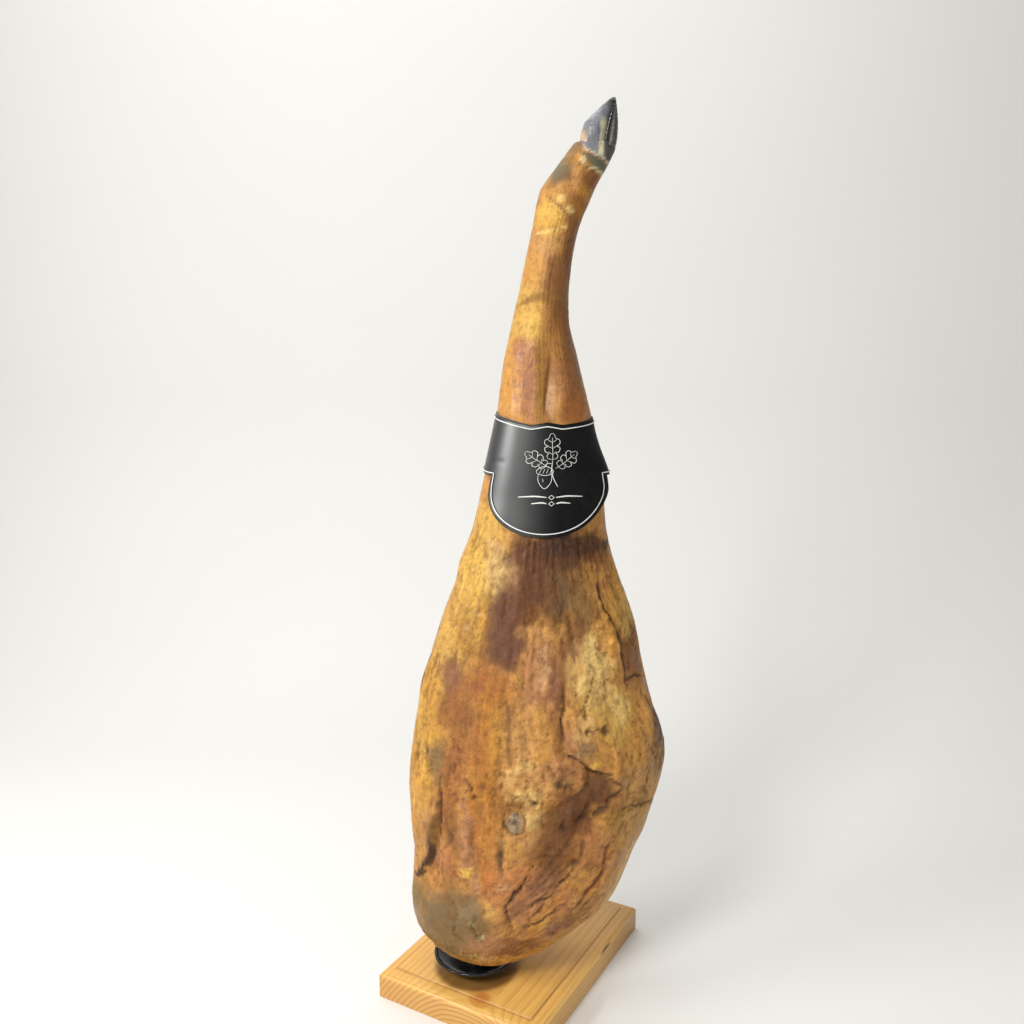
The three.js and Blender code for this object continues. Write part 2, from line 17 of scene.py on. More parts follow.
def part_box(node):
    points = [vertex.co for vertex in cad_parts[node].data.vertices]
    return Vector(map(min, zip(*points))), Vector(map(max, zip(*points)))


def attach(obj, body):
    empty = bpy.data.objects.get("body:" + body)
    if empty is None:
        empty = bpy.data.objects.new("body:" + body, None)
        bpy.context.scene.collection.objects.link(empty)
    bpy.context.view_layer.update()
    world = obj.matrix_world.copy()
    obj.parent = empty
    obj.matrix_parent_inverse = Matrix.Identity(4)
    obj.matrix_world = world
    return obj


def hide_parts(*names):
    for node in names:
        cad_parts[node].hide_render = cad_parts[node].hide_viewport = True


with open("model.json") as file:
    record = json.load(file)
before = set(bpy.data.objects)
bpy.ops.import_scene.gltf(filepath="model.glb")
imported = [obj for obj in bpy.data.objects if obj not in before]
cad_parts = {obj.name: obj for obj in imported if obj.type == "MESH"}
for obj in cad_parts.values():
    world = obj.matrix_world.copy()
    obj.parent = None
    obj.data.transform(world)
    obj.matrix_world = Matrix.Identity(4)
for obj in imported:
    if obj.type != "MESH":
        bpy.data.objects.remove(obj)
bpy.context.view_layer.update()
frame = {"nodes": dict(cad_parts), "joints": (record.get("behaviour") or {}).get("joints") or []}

# %% [markdown]
# ## Where things are
# Two facts place everything. The swivel joint gives the spike's axis, and the ham is turned on
# that axis, away from the board's sides. Inside the turned set, x runs across the ham, y runs
# from the bared side to the skin side, and z is height. Sizes below are in millimetres, as a
# maker would say them, and `place` carries them into the frame's metres.

# %% The spike's axis and the turned set
MM = 0.001
HAM_TURN = math.radians(29.7)
swivel = next(joint for joint in frame["joints"] if joint["name"] == "dish_swivel")
AXIS = Vector((swivel["pos_m"][0], swivel["pos_m"][1], 0))
TURNED = Matrix.Translation(AXIS) @ Matrix.Rotation(HAM_TURN, 4, "Z") @ Matrix.Scale(MM, 4)


def place(x, y, z):
    return TURNED @ Vector((x, y, z))


def to_frame(points):
    """Rows of millimetres in the turned set, as rows of metres in the frame."""
    turned = np.array(TURNED)
    return points @ turned[:3, :3].T + turned[:3, 3]


def to_turned(mesh):
    """A mesh's corners as rows of millimetres in the turned set."""
    back = np.array(TURNED.inverted())
    return np.array([corner.co for corner in mesh.vertices]) @ back[:3, :3].T + back[:3, 3]


def in_mm(node):
    """A node's lowest and highest height, in millimetres above the table."""
    low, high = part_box(node)
    return low.z / MM, high.z / MM


BUTT, ANKLE = in_mm("ham_body")[0], 801.0
SPIKE_TOP = in_mm("spike")[1]
print("butt", round(BUTT, 1), "ankle", round(ANKLE, 1), "spike top", round(SPIKE_TOP, 1))

# %% [markdown]
# ## The camera
# The eye stands square to the ham's bared side, a little above the shank's middle, and looks
# slightly down. The lens is a moderate wide angle, as a telephone has.

# %% Camera
EYE_ACROSS, EYE_BACK, EYE_HEIGHT = 35.6, 844.5, 605
EYE_TILT = math.radians(8.54)
camera_data = bpy.data.cameras.new("Camera")
camera_data.lens = 32.7
camera_data.sensor_width = 36
camera = bpy.data.objects.new("Camera", camera_data)
camera.location = place(EYE_ACROSS, -EYE_BACK, EYE_HEIGHT)
camera.rotation_euler = (math.pi / 2 - EYE_TILT, 0, HAM_TURN)
bpy.context.scene.collection.objects.link(camera)
bpy.context.scene.camera = camera

# %% [markdown]
# ## Stage and light
# A pale sheet lies under the stand and curves up behind it, so that there is no hard horizon.
# The key light is soft and stands at the left and in front. A narrow light at the left, level
# with the shank, draws the sheen on the card. A wide weak light fills the right, one from above
# evens out the backdrop, and the world gives the rest.

# %% Stage and light
SWEEP_HALF, SWEEP_FRONT, WALL_TOP = 3.2, -3.0, 4.0
BEND_START, BEND, BEND_STEPS = 0.55, 0.55, 16
bpy.context.scene.view_settings.view_transform = "Standard"


def new_object(name, data):
    obj = bpy.data.objects.new(name, data)
    bpy.context.scene.collection.objects.link(obj)
    return obj


def pulled(bm, edge):
    """Extrudes one edge: the new edge and its two corners."""
    made = bmesh.ops.extrude_edge_only(bm, edges=[edge])["geom"]
    tip = next(part for part in made if isinstance(part, bmesh.types.BMEdge))
    return tip, [part for part in made if isinstance(part, bmesh.types.BMVert)]


def sweep():
    """A floor that bends up into a wall: one edge, extruded along its own outline."""
    bm = bmesh.new()
    ends = [bm.verts.new((side * SWEEP_HALF, SWEEP_FRONT, 0)) for side in (-1, 1)]
    edge = bm.edges.new(ends)
    path = [(BEND_START, 0.0)]
    for step in range(1, BEND_STEPS + 1):
        angle = step / BEND_STEPS * math.pi / 2
        path.append((BEND_START + BEND * math.sin(angle), BEND * (1 - math.cos(angle))))
    path.append((BEND_START + BEND, WALL_TOP))
    here = (SWEEP_FRONT, 0.0)
    for y, z in path:
        edge, moved = pulled(bm, edge)
        bmesh.ops.translate(bm, verts=moved, vec=(0, y - here[0], z - here[1]))
        here = (y, z)
    bmesh.ops.transform(bm, matrix=Matrix.Rotation(HAM_TURN, 4, "Z"), verts=bm.verts)
    bmesh.ops.recalc_face_normals(bm, faces=bm.faces)
    mesh = bpy.data.meshes.new("sweep")
    bm.to_mesh(mesh)
    bm.free()
    for face in mesh.polygons:
        face.use_smooth = True
    return new_object("sweep", mesh)


floor = sweep()


def softbox(name, at, aim, size, watts, colour):
    light = bpy.data.lights.new(name, "AREA")
    light.shape = "RECTANGLE"
    light.size, light.size_y = size
    light.energy = watts
    light.color = colour
    lamp = new_object(name, light)
    lamp.location = place(*at)
    lamp.rotation_euler = (place(*aim) - lamp.location).to_track_quat("-Z", "Y").to_euler()


softbox("key", (-720, -1240, 1400), (40, 0, 380), (0.45, 0.5), 18.6, (1.0, 0.985, 0.96))
softbox("window", (-1030, -420, 815), (64, -40, 540), (0.4, 0.11), 7.0, (1.0, 0.99, 0.98))
softbox("fill", (620, -1500, 700), (60, 0, 330), (2.2, 1.3), 3.0, (1.0, 0.99, 0.98))
softbox("top", (-200, 700, 2050), (80, 400, 300), (1.6, 1.6), 15, (0.96, 0.985, 1.0))

world = bpy.data.worlds.new("World")
world.use_nodes = True
world.node_tree.nodes["Background"].inputs["Color"].default_value = (1.0, 0.995, 0.98, 1)
world.node_tree.nodes["Background"].inputs["Strength"].default_value = 0.38
bpy.context.scene.world = world

# %% [markdown]
# ## Writing materials as sums
# A material is a graph of small nodes. Written out link by link it is unreadable, so a `Wire`
# stands for one socket, and an expression on wires adds its Math nodes. A `Finish` is one
# material: it makes every other kind of node through the single method `node`.

# %% Wire and Finish


class Wire:
    """One output socket. Sums and products on it become Math nodes."""

    def __init__(self, finish, socket):
        self.finish, self.socket = finish, socket

    def math(self, operation, *values):
        return self.finish.node("ShaderNodeMath", {"operation": operation}, *values)

    def __add__(self, other):
        return self.math("ADD", self, other)

    def __mul__(self, other):
        return self.math("MULTIPLY", self, other)

    def __sub__(self, other):
        return self.math("SUBTRACT", self, other)

    def __rsub__(self, other):
        return self.math("SUBTRACT", other, self)

    __radd__, __rmul__ = __add__, __mul__

    def between(self, low, high):
        """0 below low, 1 above high, and a smooth step between them."""
        settings = {"interpolation_type": "SMOOTHSTEP"}
        return self.finish.node("ShaderNodeMapRange", settings, self, low, high)


class Finish:
    """A material made of node expressions that end in one Principled shader."""

    def __init__(self, name, **fixed):
        self.material = bpy.data.materials.new(name)
        self.material.use_nodes = True
        self.tree = self.material.node_tree
        self.shader = self.tree.nodes["Principled BSDF"]
        self.place = self.node("ShaderNodeTexCoord", {}, out="Object")
        self.feed(**fixed)

    def join(self, socket, value):
        if isinstance(value, Wire):
            self.tree.links.new(value.socket, socket)
        elif hasattr(value, "__len__") and len(value) == 3 and socket.type == "RGBA":
            socket.default_value = (*value, 1)
        else:
            socket.default_value = value

    def node(self, kind, settings, *values, out=0, **named):
        node = self.tree.nodes.new(kind)
        for key, setting in settings.items():
            setattr(node, key, setting)
        for socket, value in zip(node.inputs, values):
            self.join(socket, value)
        for key, value in named.items():
            self.join(node.inputs[key.replace("_", " ")], value)
        return Wire(self, node.outputs[out])

    def mix(self, share, first, second, blend="MIX"):
        made = self.node("ShaderNodeMix", {"data_type": "RGBA", "blend_type": blend}, share, out=2)
        inputs = made.socket.node.inputs
        self.join(inputs[6], first)
        self.join(inputs[7], second)
        return made

    def vector(self, operation, *values, out=0):
        return self.node("ShaderNodeVectorMath", {"operation": operation}, *values, out=out)

    def away(self, where, point, stretch=(1, 1, 1)):
        """The distance from a point, with each direction stretched first."""
        offset = self.vector("MULTIPLY", self.vector("SUBTRACT", where, point), stretch)
        return self.vector("LENGTH", offset, out=1)

    def shifted(self, scale=(1, 1, 1), turn=0, origin=(0, 0, 0)):
        """Object coordinates, centred, turned about Z and stretched."""
        centred = self.vector("SUBTRACT", self.place, origin)
        settings = {"vector_type": "POINT"}
        return self.node(
            "ShaderNodeMapping", settings, centred, Rotation=(0, 0, turn), Scale=scale
        )

    def noise(self, where, scale, detail=3, roughness=0.5, out=0):
        return self.node(
            "ShaderNodeTexNoise", {}, where, Scale=scale, Detail=detail, Roughness=roughness, out=out
        )

    def cells(self, where, scale):
        return self.node("ShaderNodeTexVoronoi", {}, where, Scale=scale)

    def part(self, where, axis):
        return self.node("ShaderNodeSeparateXYZ", {}, where, out=axis)

    def attribute(self, name, out="Fac"):
        return self.node("ShaderNodeAttribute", {"attribute_name": name}, out=out)

    def bump(self, height, distance, strength=1.0):
        made = self.node("ShaderNodeBump", {}, Strength=strength, Distance=distance, Height=height)
        self.feed(Normal=made)

    def feed(self, **sockets):
        for key, value in sockets.items():
            self.join(self.shader.inputs[key.replace("_", " ")], value)


def srgb(red, green, blue):
    """A colour given 0 to 255, as the linear light that the shader wants."""
    return tuple((v / 255 / 12.92) if v < 10 else ((v / 255 + 0.055) / 1.055) ** 2.4
                 for v in (red, green, blue))


# %% [markdown]
# ## The sheet's look
# Matt card stock, with a faint wide cloudiness so that it is not one flat tone.

# %% Stage material
sheet_finish = Finish("Sweep", Roughness=0.75)
tint = sheet_finish.noise(sheet_finish.place, 1.2, detail=2)
sheet_finish.feed(Base_Color=sheet_finish.mix(tint, (0.80, 0.79, 0.765), (0.86, 0.855, 0.83)))
floor.data.materials.append(sheet_finish.material)

# %% [markdown]
# ## Helpers for pieces
# Each piece is finished the same way: its faces are shaded smooth except across sharp edges,
# it gets its material, it rides on a body, and it stands for one or more plain nodes.

# %% Piece helpers


def shade_smooth(mesh, sharp):
    """Smooth faces, except across edges that turn by more than sharp degrees."""
    for face in mesh.polygons:
        face.use_smooth = True
    mesh.set_sharp_from_angle(angle=math.radians(sharp))


def finish_mesh(name, bm, sharp=35):
    mesh = bpy.data.meshes.new(name)
    bm.to_mesh(mesh)
    bm.free()
    shade_smooth(mesh, sharp)
    return new_object(name, mesh)


def set_corners(bm, points):
    """Moves every corner to its own row of points, and turns all faces outwards."""
    for vertex, point in zip(bm.verts, points):
        vertex.co = point
    bmesh.ops.recalc_face_normals(bm, faces=bm.faces)


def dress(piece, finish, body, slot, *nodes):
    piece.data.materials.append(finish.material)
    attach(piece, body)
    if nodes:
        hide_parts(*nodes)
    print(piece.name, len(piece.data.polygons), "faces")
    return piece


def turned_piece(name, profile, steps=72, sharp=35, where=TURNED):
    """A closed profile of (radius, height) points, spun round the spike's axis or laid elsewhere."""
    bm = bmesh.new()
    points = [bm.verts.new((radius, 0, height)) for radius, height in profile]
    loop = list(zip(points, points[1:] + points[:1]))
    edges = [bm.edges.new(pair) for pair in loop if pair[0].co.x + pair[1].co.x > 0]
    bmesh.ops.spin(
        bm, geom=points + edges, cent=(0, 0, 0), axis=(0, 0, 1), dvec=(0, 0, 0),
        angle=2 * math.pi, steps=steps, use_merge=True,
    )
    bmesh.ops.remove_doubles(bm, verts=bm.verts, dist=1e-4)
    bmesh.ops.recalc_face_normals(bm, faces=bm.faces)
    bmesh.ops.transform(bm, matrix=where, verts=bm.verts)
    return finish_mesh(name, bm, sharp)


def smooth(value, low, high):
    """0 below low, 1 above high, and a smooth step between them."""
    t = np.clip((value - low) / (high - low), 0, 1)
    return t * t * (3 - 2 * t)


# %% [markdown]
# ## The board
# The foot is a block of honey-coloured pine. A moulding cutter has run round its top edge: from
# the flat panel the wood steps down a little, then rounds over to the side in a quarter round.
# The block starts as a cube. Its top face is inset again and again, each time a little higher,
# which is how a moulding is drawn in section. A boolean drills the hole for the bushes.

# %% Board shape
board_low, board_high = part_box("base_board")
PANEL_INSET, STEP_DEPTH, STEP_WIDTH, ARRIS_DROP = 13.5 * MM, 1.4 * MM, 1.6 * MM, 6.5 * MM
BUSH_HOLE, POCKET_RADIUS, POCKET_DEPTH = 9.3 * MM, 17 * MM, 14 * MM
MOULDING_STEPS, WORN_EDGE, BOARD_SHARP = 10, 0.6 * MM, 50
DRUMS = ((BUSH_HOLE, 0.005, 0.05), (POCKET_RADIUS, -0.01, POCKET_DEPTH))


def top_face(bm):
    return max(bm.faces, key=lambda face: (round(face.calc_center_median().z, 6), face.calc_area()))


def inset(bm, width, rise):
    """Sets the top face in by width, then lifts it by rise."""
    bmesh.ops.inset_region(bm, faces=[top_face(bm)], thickness=width, depth=0, use_even_offset=True)
    bmesh.ops.translate(bm, vec=(0, 0, rise), verts=top_face(bm).verts)


def drilled(obj, cutter):
    cut = obj.modifiers.new("hole", "BOOLEAN")
    cut.object = cutter
    cut.solver = "EXACT"
    shape = bpy.data.meshes.new_from_object(obj.evaluated_get(bpy.context.evaluated_depsgraph_get()))
    obj.modifiers.clear()
    obj.data = shape
    bpy.data.objects.remove(cutter)
    return obj


def board_block():
    bm = bmesh.new()
    bmesh.ops.create_cube(bm, size=1)
    size = board_high - board_low
    block_height = size.z - ARRIS_DROP
    bmesh.ops.scale(bm, vec=(size.x, size.y, block_height), verts=bm.verts)
    bmesh.ops.translate(bm, vec=(0, 0, board_low.z + block_height / 2), verts=bm.verts)
    reach, rise = PANEL_INSET - STEP_WIDTH, ARRIS_DROP - STEP_DEPTH
    before = (0.0, 0.0)
    for step in range(1, MOULDING_STEPS + 1):
        angle = step / MOULDING_STEPS * math.pi / 2
        here = (reach * (1 - math.cos(angle)), rise * math.sin(angle))
        inset(bm, here[0] - before[0], here[1] - before[1])
        before = here
    inset(bm, STEP_WIDTH * 0.7, 0)
    inset(bm, STEP_WIDTH * 0.3, STEP_DEPTH)
    bm.normal_update()
    worn = [edge for edge in bm.edges if edge.calc_face_angle(0) > math.radians(30)]
    bmesh.ops.bevel(
        bm, geom=worn, offset=WORN_EDGE, offset_type="OFFSET", affect="EDGES", segments=3,
        profile=0.5, material=-1, clamp_overlap=True,
    )
    return finish_mesh("pine_board", bm, BOARD_SHARP)


def stepped_cutter():
    bm = bmesh.new()
    for radius, bottom, top in DRUMS:
        drum = bmesh.ops.create_cone(
            bm, cap_ends=True, segments=64, radius1=radius, radius2=radius, depth=top - bottom
        )["verts"]
        bmesh.ops.translate(bm, vec=(AXIS.x, AXIS.y, (top + bottom) / 2), verts=drum)
    return finish_mesh("cutter", bm)


board = drilled(board_block(), stepped_cutter())
board.name = "pine_board"
shade_smooth(board.data, BOARD_SHARP)

# %% [markdown]
# ## Pine
# Wood is a stack of cones, so its figure is a solid pattern: distance from the pith gives the
# rings. Read along the board the rings are long streaks, and read on the end they are arcs,
# from one formula. The pith lies under the board. Late wood is dark and narrow and ends
# sharply; a knot bends the rings round it. A short drying crack has opened in one side. Shade is
# painted into the wood too: the dish's shadow round its foot, shade on the sides and along the
# panel's step, and the ham's shadow toward the far end.

# %% Pine finish
PITH, RING = (0.012, 0, -0.052), 0.0046
KNOT = (0.020, -0.100, 0.028)
CHECK_AT, CHECK_STRETCH = (0.0868, 0.034, 0.0222), (0.7, 0.11, 1)
# the middle of the dish's painted shadow on the wood
DISH_SHADOW_AT = (AXIS[0] + 0.003, AXIS[1] - 0.003, 0)
pine = Finish("Pine", Roughness=0.42, Coat_Weight=0.25, Coat_Roughness=0.25)

sway = pine.noise(pine.shifted(scale=(14, 2.2, 14)), 1.0, detail=2, out=1)
sway = pine.vector("MULTIPLY", pine.vector("SUBTRACT", sway, (0.5, 0.5, 0.5)), (0.011, 0, 0.011))
grown = pine.vector("ADD", pine.place, sway)
radius = pine.away(grown, PITH, (1, 0, 1))
knot_near = 1 - pine.away(pine.place, KNOT).between(0.002, 0.017)
ring_phase = radius * (1 / RING) + knot_near * 1.3
ring = ring_phase.math("FRACT", ring_phase)
late = ring.between(0.35, 0.93) * (1 - ring.between(0.93, 0.995))
fibre = pine.noise(pine.shifted(scale=(900, 26, 900)), 1.0, detail=4, roughness=0.6)
cloud = pine.noise(pine.shifted(scale=(9, 5, 9)), 1.0, detail=2)
across, length, height = (pine.part(pine.place, axis) for axis in range(3))
end_grain = length.math("ABSOLUTE", length).between(0.1142, 0.1149)
side_room = board_high.x - across.math("ABSOLUTE", across)
end_room = board_high.y - length.math("ABSOLUTE", length)
edge_room = side_room.math("MINIMUM", side_room, end_room)
# painted shade: a band darker along the step at the panel's edge
panel_step_shade = edge_room.between(0.0108, 0.0124) * (1 - edge_room.between(0.0131, 0.0142))
# a darker line just inside the rounded outer edge
arris_line = edge_room.between(0.0012, 0.0020) * (1 - edge_room.between(0.0024, 0.0034))
check = 1 - pine.away(pine.place, CHECK_AT, CHECK_STRETCH).between(0.0007, 0.0018)
# painted shadow of the dish: the wood darker in a ring round its foot
dish_shadow = 1 - pine.away(pine.place, DISH_SHADOW_AT, (1, 1, 0)).between(0.037, 0.045)
wood = pine.mix(cloud.between(0.35, 0.7), srgb(230, 176, 88), srgb(240, 192, 104))
for share, tone in (
    (late * 0.4, (198, 134, 56)),
    (fibre.between(0.42, 0.75) * 0.3, (190, 128, 56)),
    (knot_near * 0.75, (190, 108, 34)),
    (end_grain * late * 0.55, (176, 104, 46)),
    (end_grain * 0.22, (214, 156, 92)),
    # painted shade along the panel's step
    (panel_step_shade * (0.2 + fibre * 0.6), (150, 94, 40)),
    # the darker line inside the outer edge
    (arris_line * fibre.between(0.35, 0.7) * 0.5, (158, 102, 44)),
    (check * 0.9, (52, 30, 14)),
    # painted shadow of the dish
    (dish_shadow * 0.8, (88, 50, 18)),
    # painted shade on the board's sides, below the moulding
    ((1 - height.between(0.0185, 0.0225)) * 0.3, (150, 108, 60)),
    # painted shadow of the ham: the top darker toward the far end
    (length.between(0.02, 0.12) * 0.5, (146, 104, 54)),
):
    wood = pine.mix(share, wood, srgb(*tone))
pine.feed(Base_Color=wood, Roughness=0.36 + fibre * 0.2 + end_grain * 0.15)
pine.bump(late * -0.4 + fibre * 0.5, 0.00025, 0.5)
dress(board, pine, "stand", "pine", "base_board")

# %% [markdown]
# ## The spike and its dish
# Every turned metal part is a closed outline spun round the spike's axis. The dish is pressed
# from thin sheet: a flat middle, a rising bowl, and a rim rolled into a bead so that it can't
# cut a hand. The nuts stay as the frame's own solids and only take a finish.

# %% Turned parts
BORE = 6.3
SPIKE_RADIUS, SPIKE_POINT = 6.0, 38.0
WASHER_RADIUS = 15
BUSH_RADIUS, FLANGE_RADIUS, FLANGE_HEIGHT, FLANGE_EDGE = 9, 14, 2, 0.4
spike_foot = in_mm("spike")[0]
shoulder = SPIKE_TOP - SPIKE_POINT
spike_outline = [
    (0, spike_foot), (5.2, spike_foot), (SPIKE_RADIUS, spike_foot + 0.8),
    (SPIKE_RADIUS, shoulder), (5.6, shoulder + 7), (SPIKE_RADIUS * 0.72, shoulder + 17.1),
    (2.2, SPIKE_TOP - 8), (0.9, SPIKE_TOP - 1.0), (0.45, SPIKE_TOP - 0.2), (0, SPIKE_TOP),
]
spike = turned_piece("steel_spike", spike_outline, steps=40, sharp=50)

DISH_RADIUS, BEAD, SHEET = 41.0, 1.3, 1.5
dish_floor, dish_rim = in_mm("drip_dish")


def bowl_line(start, bend, end, steps=12):
    line = []
    for step in range(steps + 1):
        t = step / steps
        weights = ((1 - t) ** 2, 2 * t * (1 - t), t * t)
        line.append(tuple(sum(w * p[k] for w, p in zip(weights, (start, bend, end)))
                          for k in (0, 1)))
    return line


rim = (DISH_RADIUS - BEAD, dish_rim - BEAD)
under = bowl_line((21, dish_floor), (rim[0] - 5, dish_floor + 0.6), (rim[0] + 0.6, rim[1] - 1.15))
bead = [(rim[0] + BEAD * math.cos(a), rim[1] + BEAD * math.sin(a))
        for a in (math.radians(-40 + 220 * k / 9) for k in range(10))]
inside = bowl_line(
    (rim[0] - BEAD - 0.2, rim[1] - 1.0), (rim[0] - 6, dish_floor + SHEET + 0.5),
    (20.5, dish_floor + SHEET),
)
dish = turned_piece(
    "black_dish",
    [(BORE, dish_floor), *under, *bead, *inside, (BORE, dish_floor + SHEET)], steps=96, sharp=60,
)


def flat_ring(name, node, outer, bore, edge=0.25):
    low, high = in_mm(node)
    return turned_piece(name, [
        (bore, low), (outer - edge, low), (outer, low + edge), (outer, high - edge),
        (outer - edge, high), (bore, high),
    ], steps=56, sharp=30)


dish_washer = flat_ring("washer_under_dish", "dish_washer", WASHER_RADIUS, BORE)
foot_washer = flat_ring("washer_under_board", "retaining_washer", WASHER_RADIUS, BORE)


def flanged_bush(name, node, flange_above):
    low, high = in_mm(node)
    foot, top = (high - FLANGE_HEIGHT, high) if flange_above else (low, low + FLANGE_HEIGHT)
    flange = [
        (FLANGE_RADIUS - FLANGE_EDGE, foot), (FLANGE_RADIUS, foot + FLANGE_EDGE),
        (FLANGE_RADIUS, top - FLANGE_EDGE), (FLANGE_RADIUS - FLANGE_EDGE, top),
    ]
    if flange_above:
        outline = [(BUSH_RADIUS, low), (BUSH_RADIUS, foot), *flange]
    else:
        outline = [*flange, (BUSH_RADIUS, top), (BUSH_RADIUS, high)]
    return turned_piece(name, [*outline, (BORE, high), (BORE, low)], steps=56, sharp=30)


upper_bush = flanged_bush("nylon_bush_above", "bush_upper", True)
lower_bush = flanged_bush("nylon_bush_below", "bush_lower", False)

# %% [markdown]
# ## Metal, enamel and nylon
# Turned steel keeps fine rings from the tool, so its roughness changes with height. Black enamel
# is a glossy coat over a slightly uneven sheet, with dust, and its colour is a paler grey in a
# band along the top of the rim. Nylon is soft white and waxy.

# %% Metal finishes
steel = Finish("Turned_steel", Metallic=1.0)
tool_rings = steel.noise(steel.shifted(scale=(1, 1, 2600)), 1.0, detail=2)
handling = steel.noise(steel.place, 90, detail=3)
steel.feed(
    Base_Color=steel.mix(handling, (0.52, 0.53, 0.54), (0.66, 0.66, 0.65)),
    Roughness=0.22 + tool_rings * 0.2 + handling * 0.1,
)
steel.bump(tool_rings, 0.00006, 0.35)

enamel = Finish("Black_enamel", Coat_Weight=0.2, Coat_Roughness=0.1, Specular_IOR_Level=0.3)
orange_peel = enamel.noise(enamel.place, 420, detail=1)
dust = enamel.noise(enamel.place, 160, detail=4, roughness=0.65)
# a paler grey band along the top millimetre of the rim
rim_band = enamel.part(enamel.place, 2).between(dish_rim * MM - 0.0010, dish_rim * MM - 0.0001)
enamel.feed(
    Base_Color=enamel.mix(rim_band * 0.5, (0.006, 0.006, 0.007), (0.035, 0.034, 0.033)),
    Roughness=0.16 + dust.between(0.45, 0.8) * 0.22,
)
enamel.bump(orange_peel, 0.00008, 0.3)

nylon = Finish("Nylon", Roughness=0.45)
swirl = nylon.noise(nylon.place, 120, detail=2)
nylon.feed(Base_Color=nylon.mix(swirl, (0.70, 0.69, 0.64), (0.80, 0.79, 0.75)),
           Roughness=0.4 + swirl * 0.15)
nylon.bump(swirl, 0.00005, 0.3)

dress(spike, steel, "turntable", "steel", "spike")
dress(dish, enamel, "turntable", "black_enamel", "drip_dish")
dress(dish_washer, steel, "turntable", "steel", "dish_washer")
dress(foot_washer, steel, "turntable", "steel", "retaining_washer")
dress(upper_bush, nylon, "stand", "nylon", "bush_upper")
dress(lower_bush, nylon, "stand", "nylon", "bush_lower")


def finish_node(name, finish):
    """A frame solid that is already the right shape: only its finish changes."""
    mesh = frame["nodes"][name].data
    mesh.materials.clear()
    mesh.materials.append(finish.material)


for name in ("jam_nut", "lock_nut"):
    finish_node(name, steel)
print("turned parts done")

# %% [markdown]
# ## The outline of the leg
# A cured leg is one long form: a broad butt, a thigh that narrows to the shank, and a foot that
# bends away. Stations up its length give the four edges of each section, and a smooth curve
# joins them. Everything that follows the leg's surface, from cracks to the card cuff, is placed
# with the same functions.

# %% Stations of the leg
# height above the table, left edge, right edge, bared side, skin side
STATIONS = np.array([
    (43, -12, 38, -26, 22), (46, -20, 48, -33, 29), (50, -29, 58, -38, 36),
    (54, -37, 66, -41, 41), (60, -44.5, 77, -46, 46), (66, -50, 87, -50, 51),
    (80, -57.5, 104, -57, 60), (104, -61.5, 131, -64, 69),
    (136, -59, 146, -69, 75), (160, -58.5, 154.5, -71, 77), (177, -60, 162.5, -72, 78),
    (198, -61.5, 169, -72, 78), (218, -62.5, 175, -72, 78), (238, -61.5, 179, -71, 78),
    (258, -58.5, 179.5, -69, 78), (278, -56, 174.5, -67.5, 77), (298, -52.5, 167, -65, 75),
    (318, -49.5, 162, -63, 73.5), (345, -40.5, 156, -59, 69), (376, -31, 149.5, -55.5, 66),
    (395, -24, 143, -53.5, 63), (414, -16.5, 136, -51, 60), (433, -12.5, 130, -48, 56),
    (461, -1.5, 122.5, -45, 52.5), (503, 8.5, 118.5, -42, 46.5), (558, 20.5, 109, -36.5, 40),
    (612, 27.8, 95.6, -28.5, 31.5), (651, 36.3, 86.3, -25, 28), (690, 44.8, 87, -22.5, 25.5),
    (729, 53, 94.2, -22, 25), (762, 60.5, 107.5, -21, 24), (780, 73.5, 117.4, -19.6, 22),
    (790, 81, 122.6, -17.6, 20), (796, 85, 125, -15.2, 17.5), (801, 89.5, 125.4, -13, 14),
], float)


def edge(z, column):
    """One edge of the section at each height: a cubic from station to station."""
    heights, values = STATIONS[:, 0], STATIONS[:, column]
    before = np.maximum(np.arange(len(heights)) - 1, 0)
    after = np.minimum(np.arange(len(heights)) + 1, len(heights) - 1)
    slopes = (values[after] - values[before]) / (heights[after] - heights[before])
    low = np.clip(np.searchsorted(heights, z, side="right") - 1, 0, len(heights) - 2)
    span = heights[low + 1] - heights[low]
    t = np.clip((z - heights[low]) / span, 0, 1)
    bend = t * t * (3 - 2 * t)
    ends = values[low] * (1 - bend) + values[low + 1] * bend
    return ends + span * t * (1 - t) * ((1 - t) * slopes[low] - t * slopes[low + 1])


def leg_point(turn, z, grow=0.0, slack=0.0):
    """The surface at an angle round the leg (right edge 0, skin side 90, bared side -90)."""
    left, right, bared, skin = (edge(z, column) for column in (1, 2, 3, 4))
    side = np.sin(turn)
    depth = np.where(side < 0, grow - bared, skin + grow + slack)
    x = (left + right) / 2 + ((right - left) / 2 + grow) * np.cos(turn)
    return np.stack([x, depth * side, z + 0 * turn], -1)


def leg_normal(turn, z):
    around = leg_point(turn + 0.01, z) - leg_point(turn - 0.01, z)
    up = leg_point(turn, z + 1) - leg_point(turn, z - 1)
    normal = np.cross(around, up)
    return normal / np.linalg.norm(normal, axis=-1, keepdims=True)


print("leg stations", len(STATIONS))

# %% [markdown]
# ## Tools for carving
# The cured surface has no straight run anywhere, so it is carved as a sculptor would: mounds,
# cuts, and ledges where one muscle's edge stands over the next. Each tool answers for every
# point of the bared side at once, from the point's place across and up.

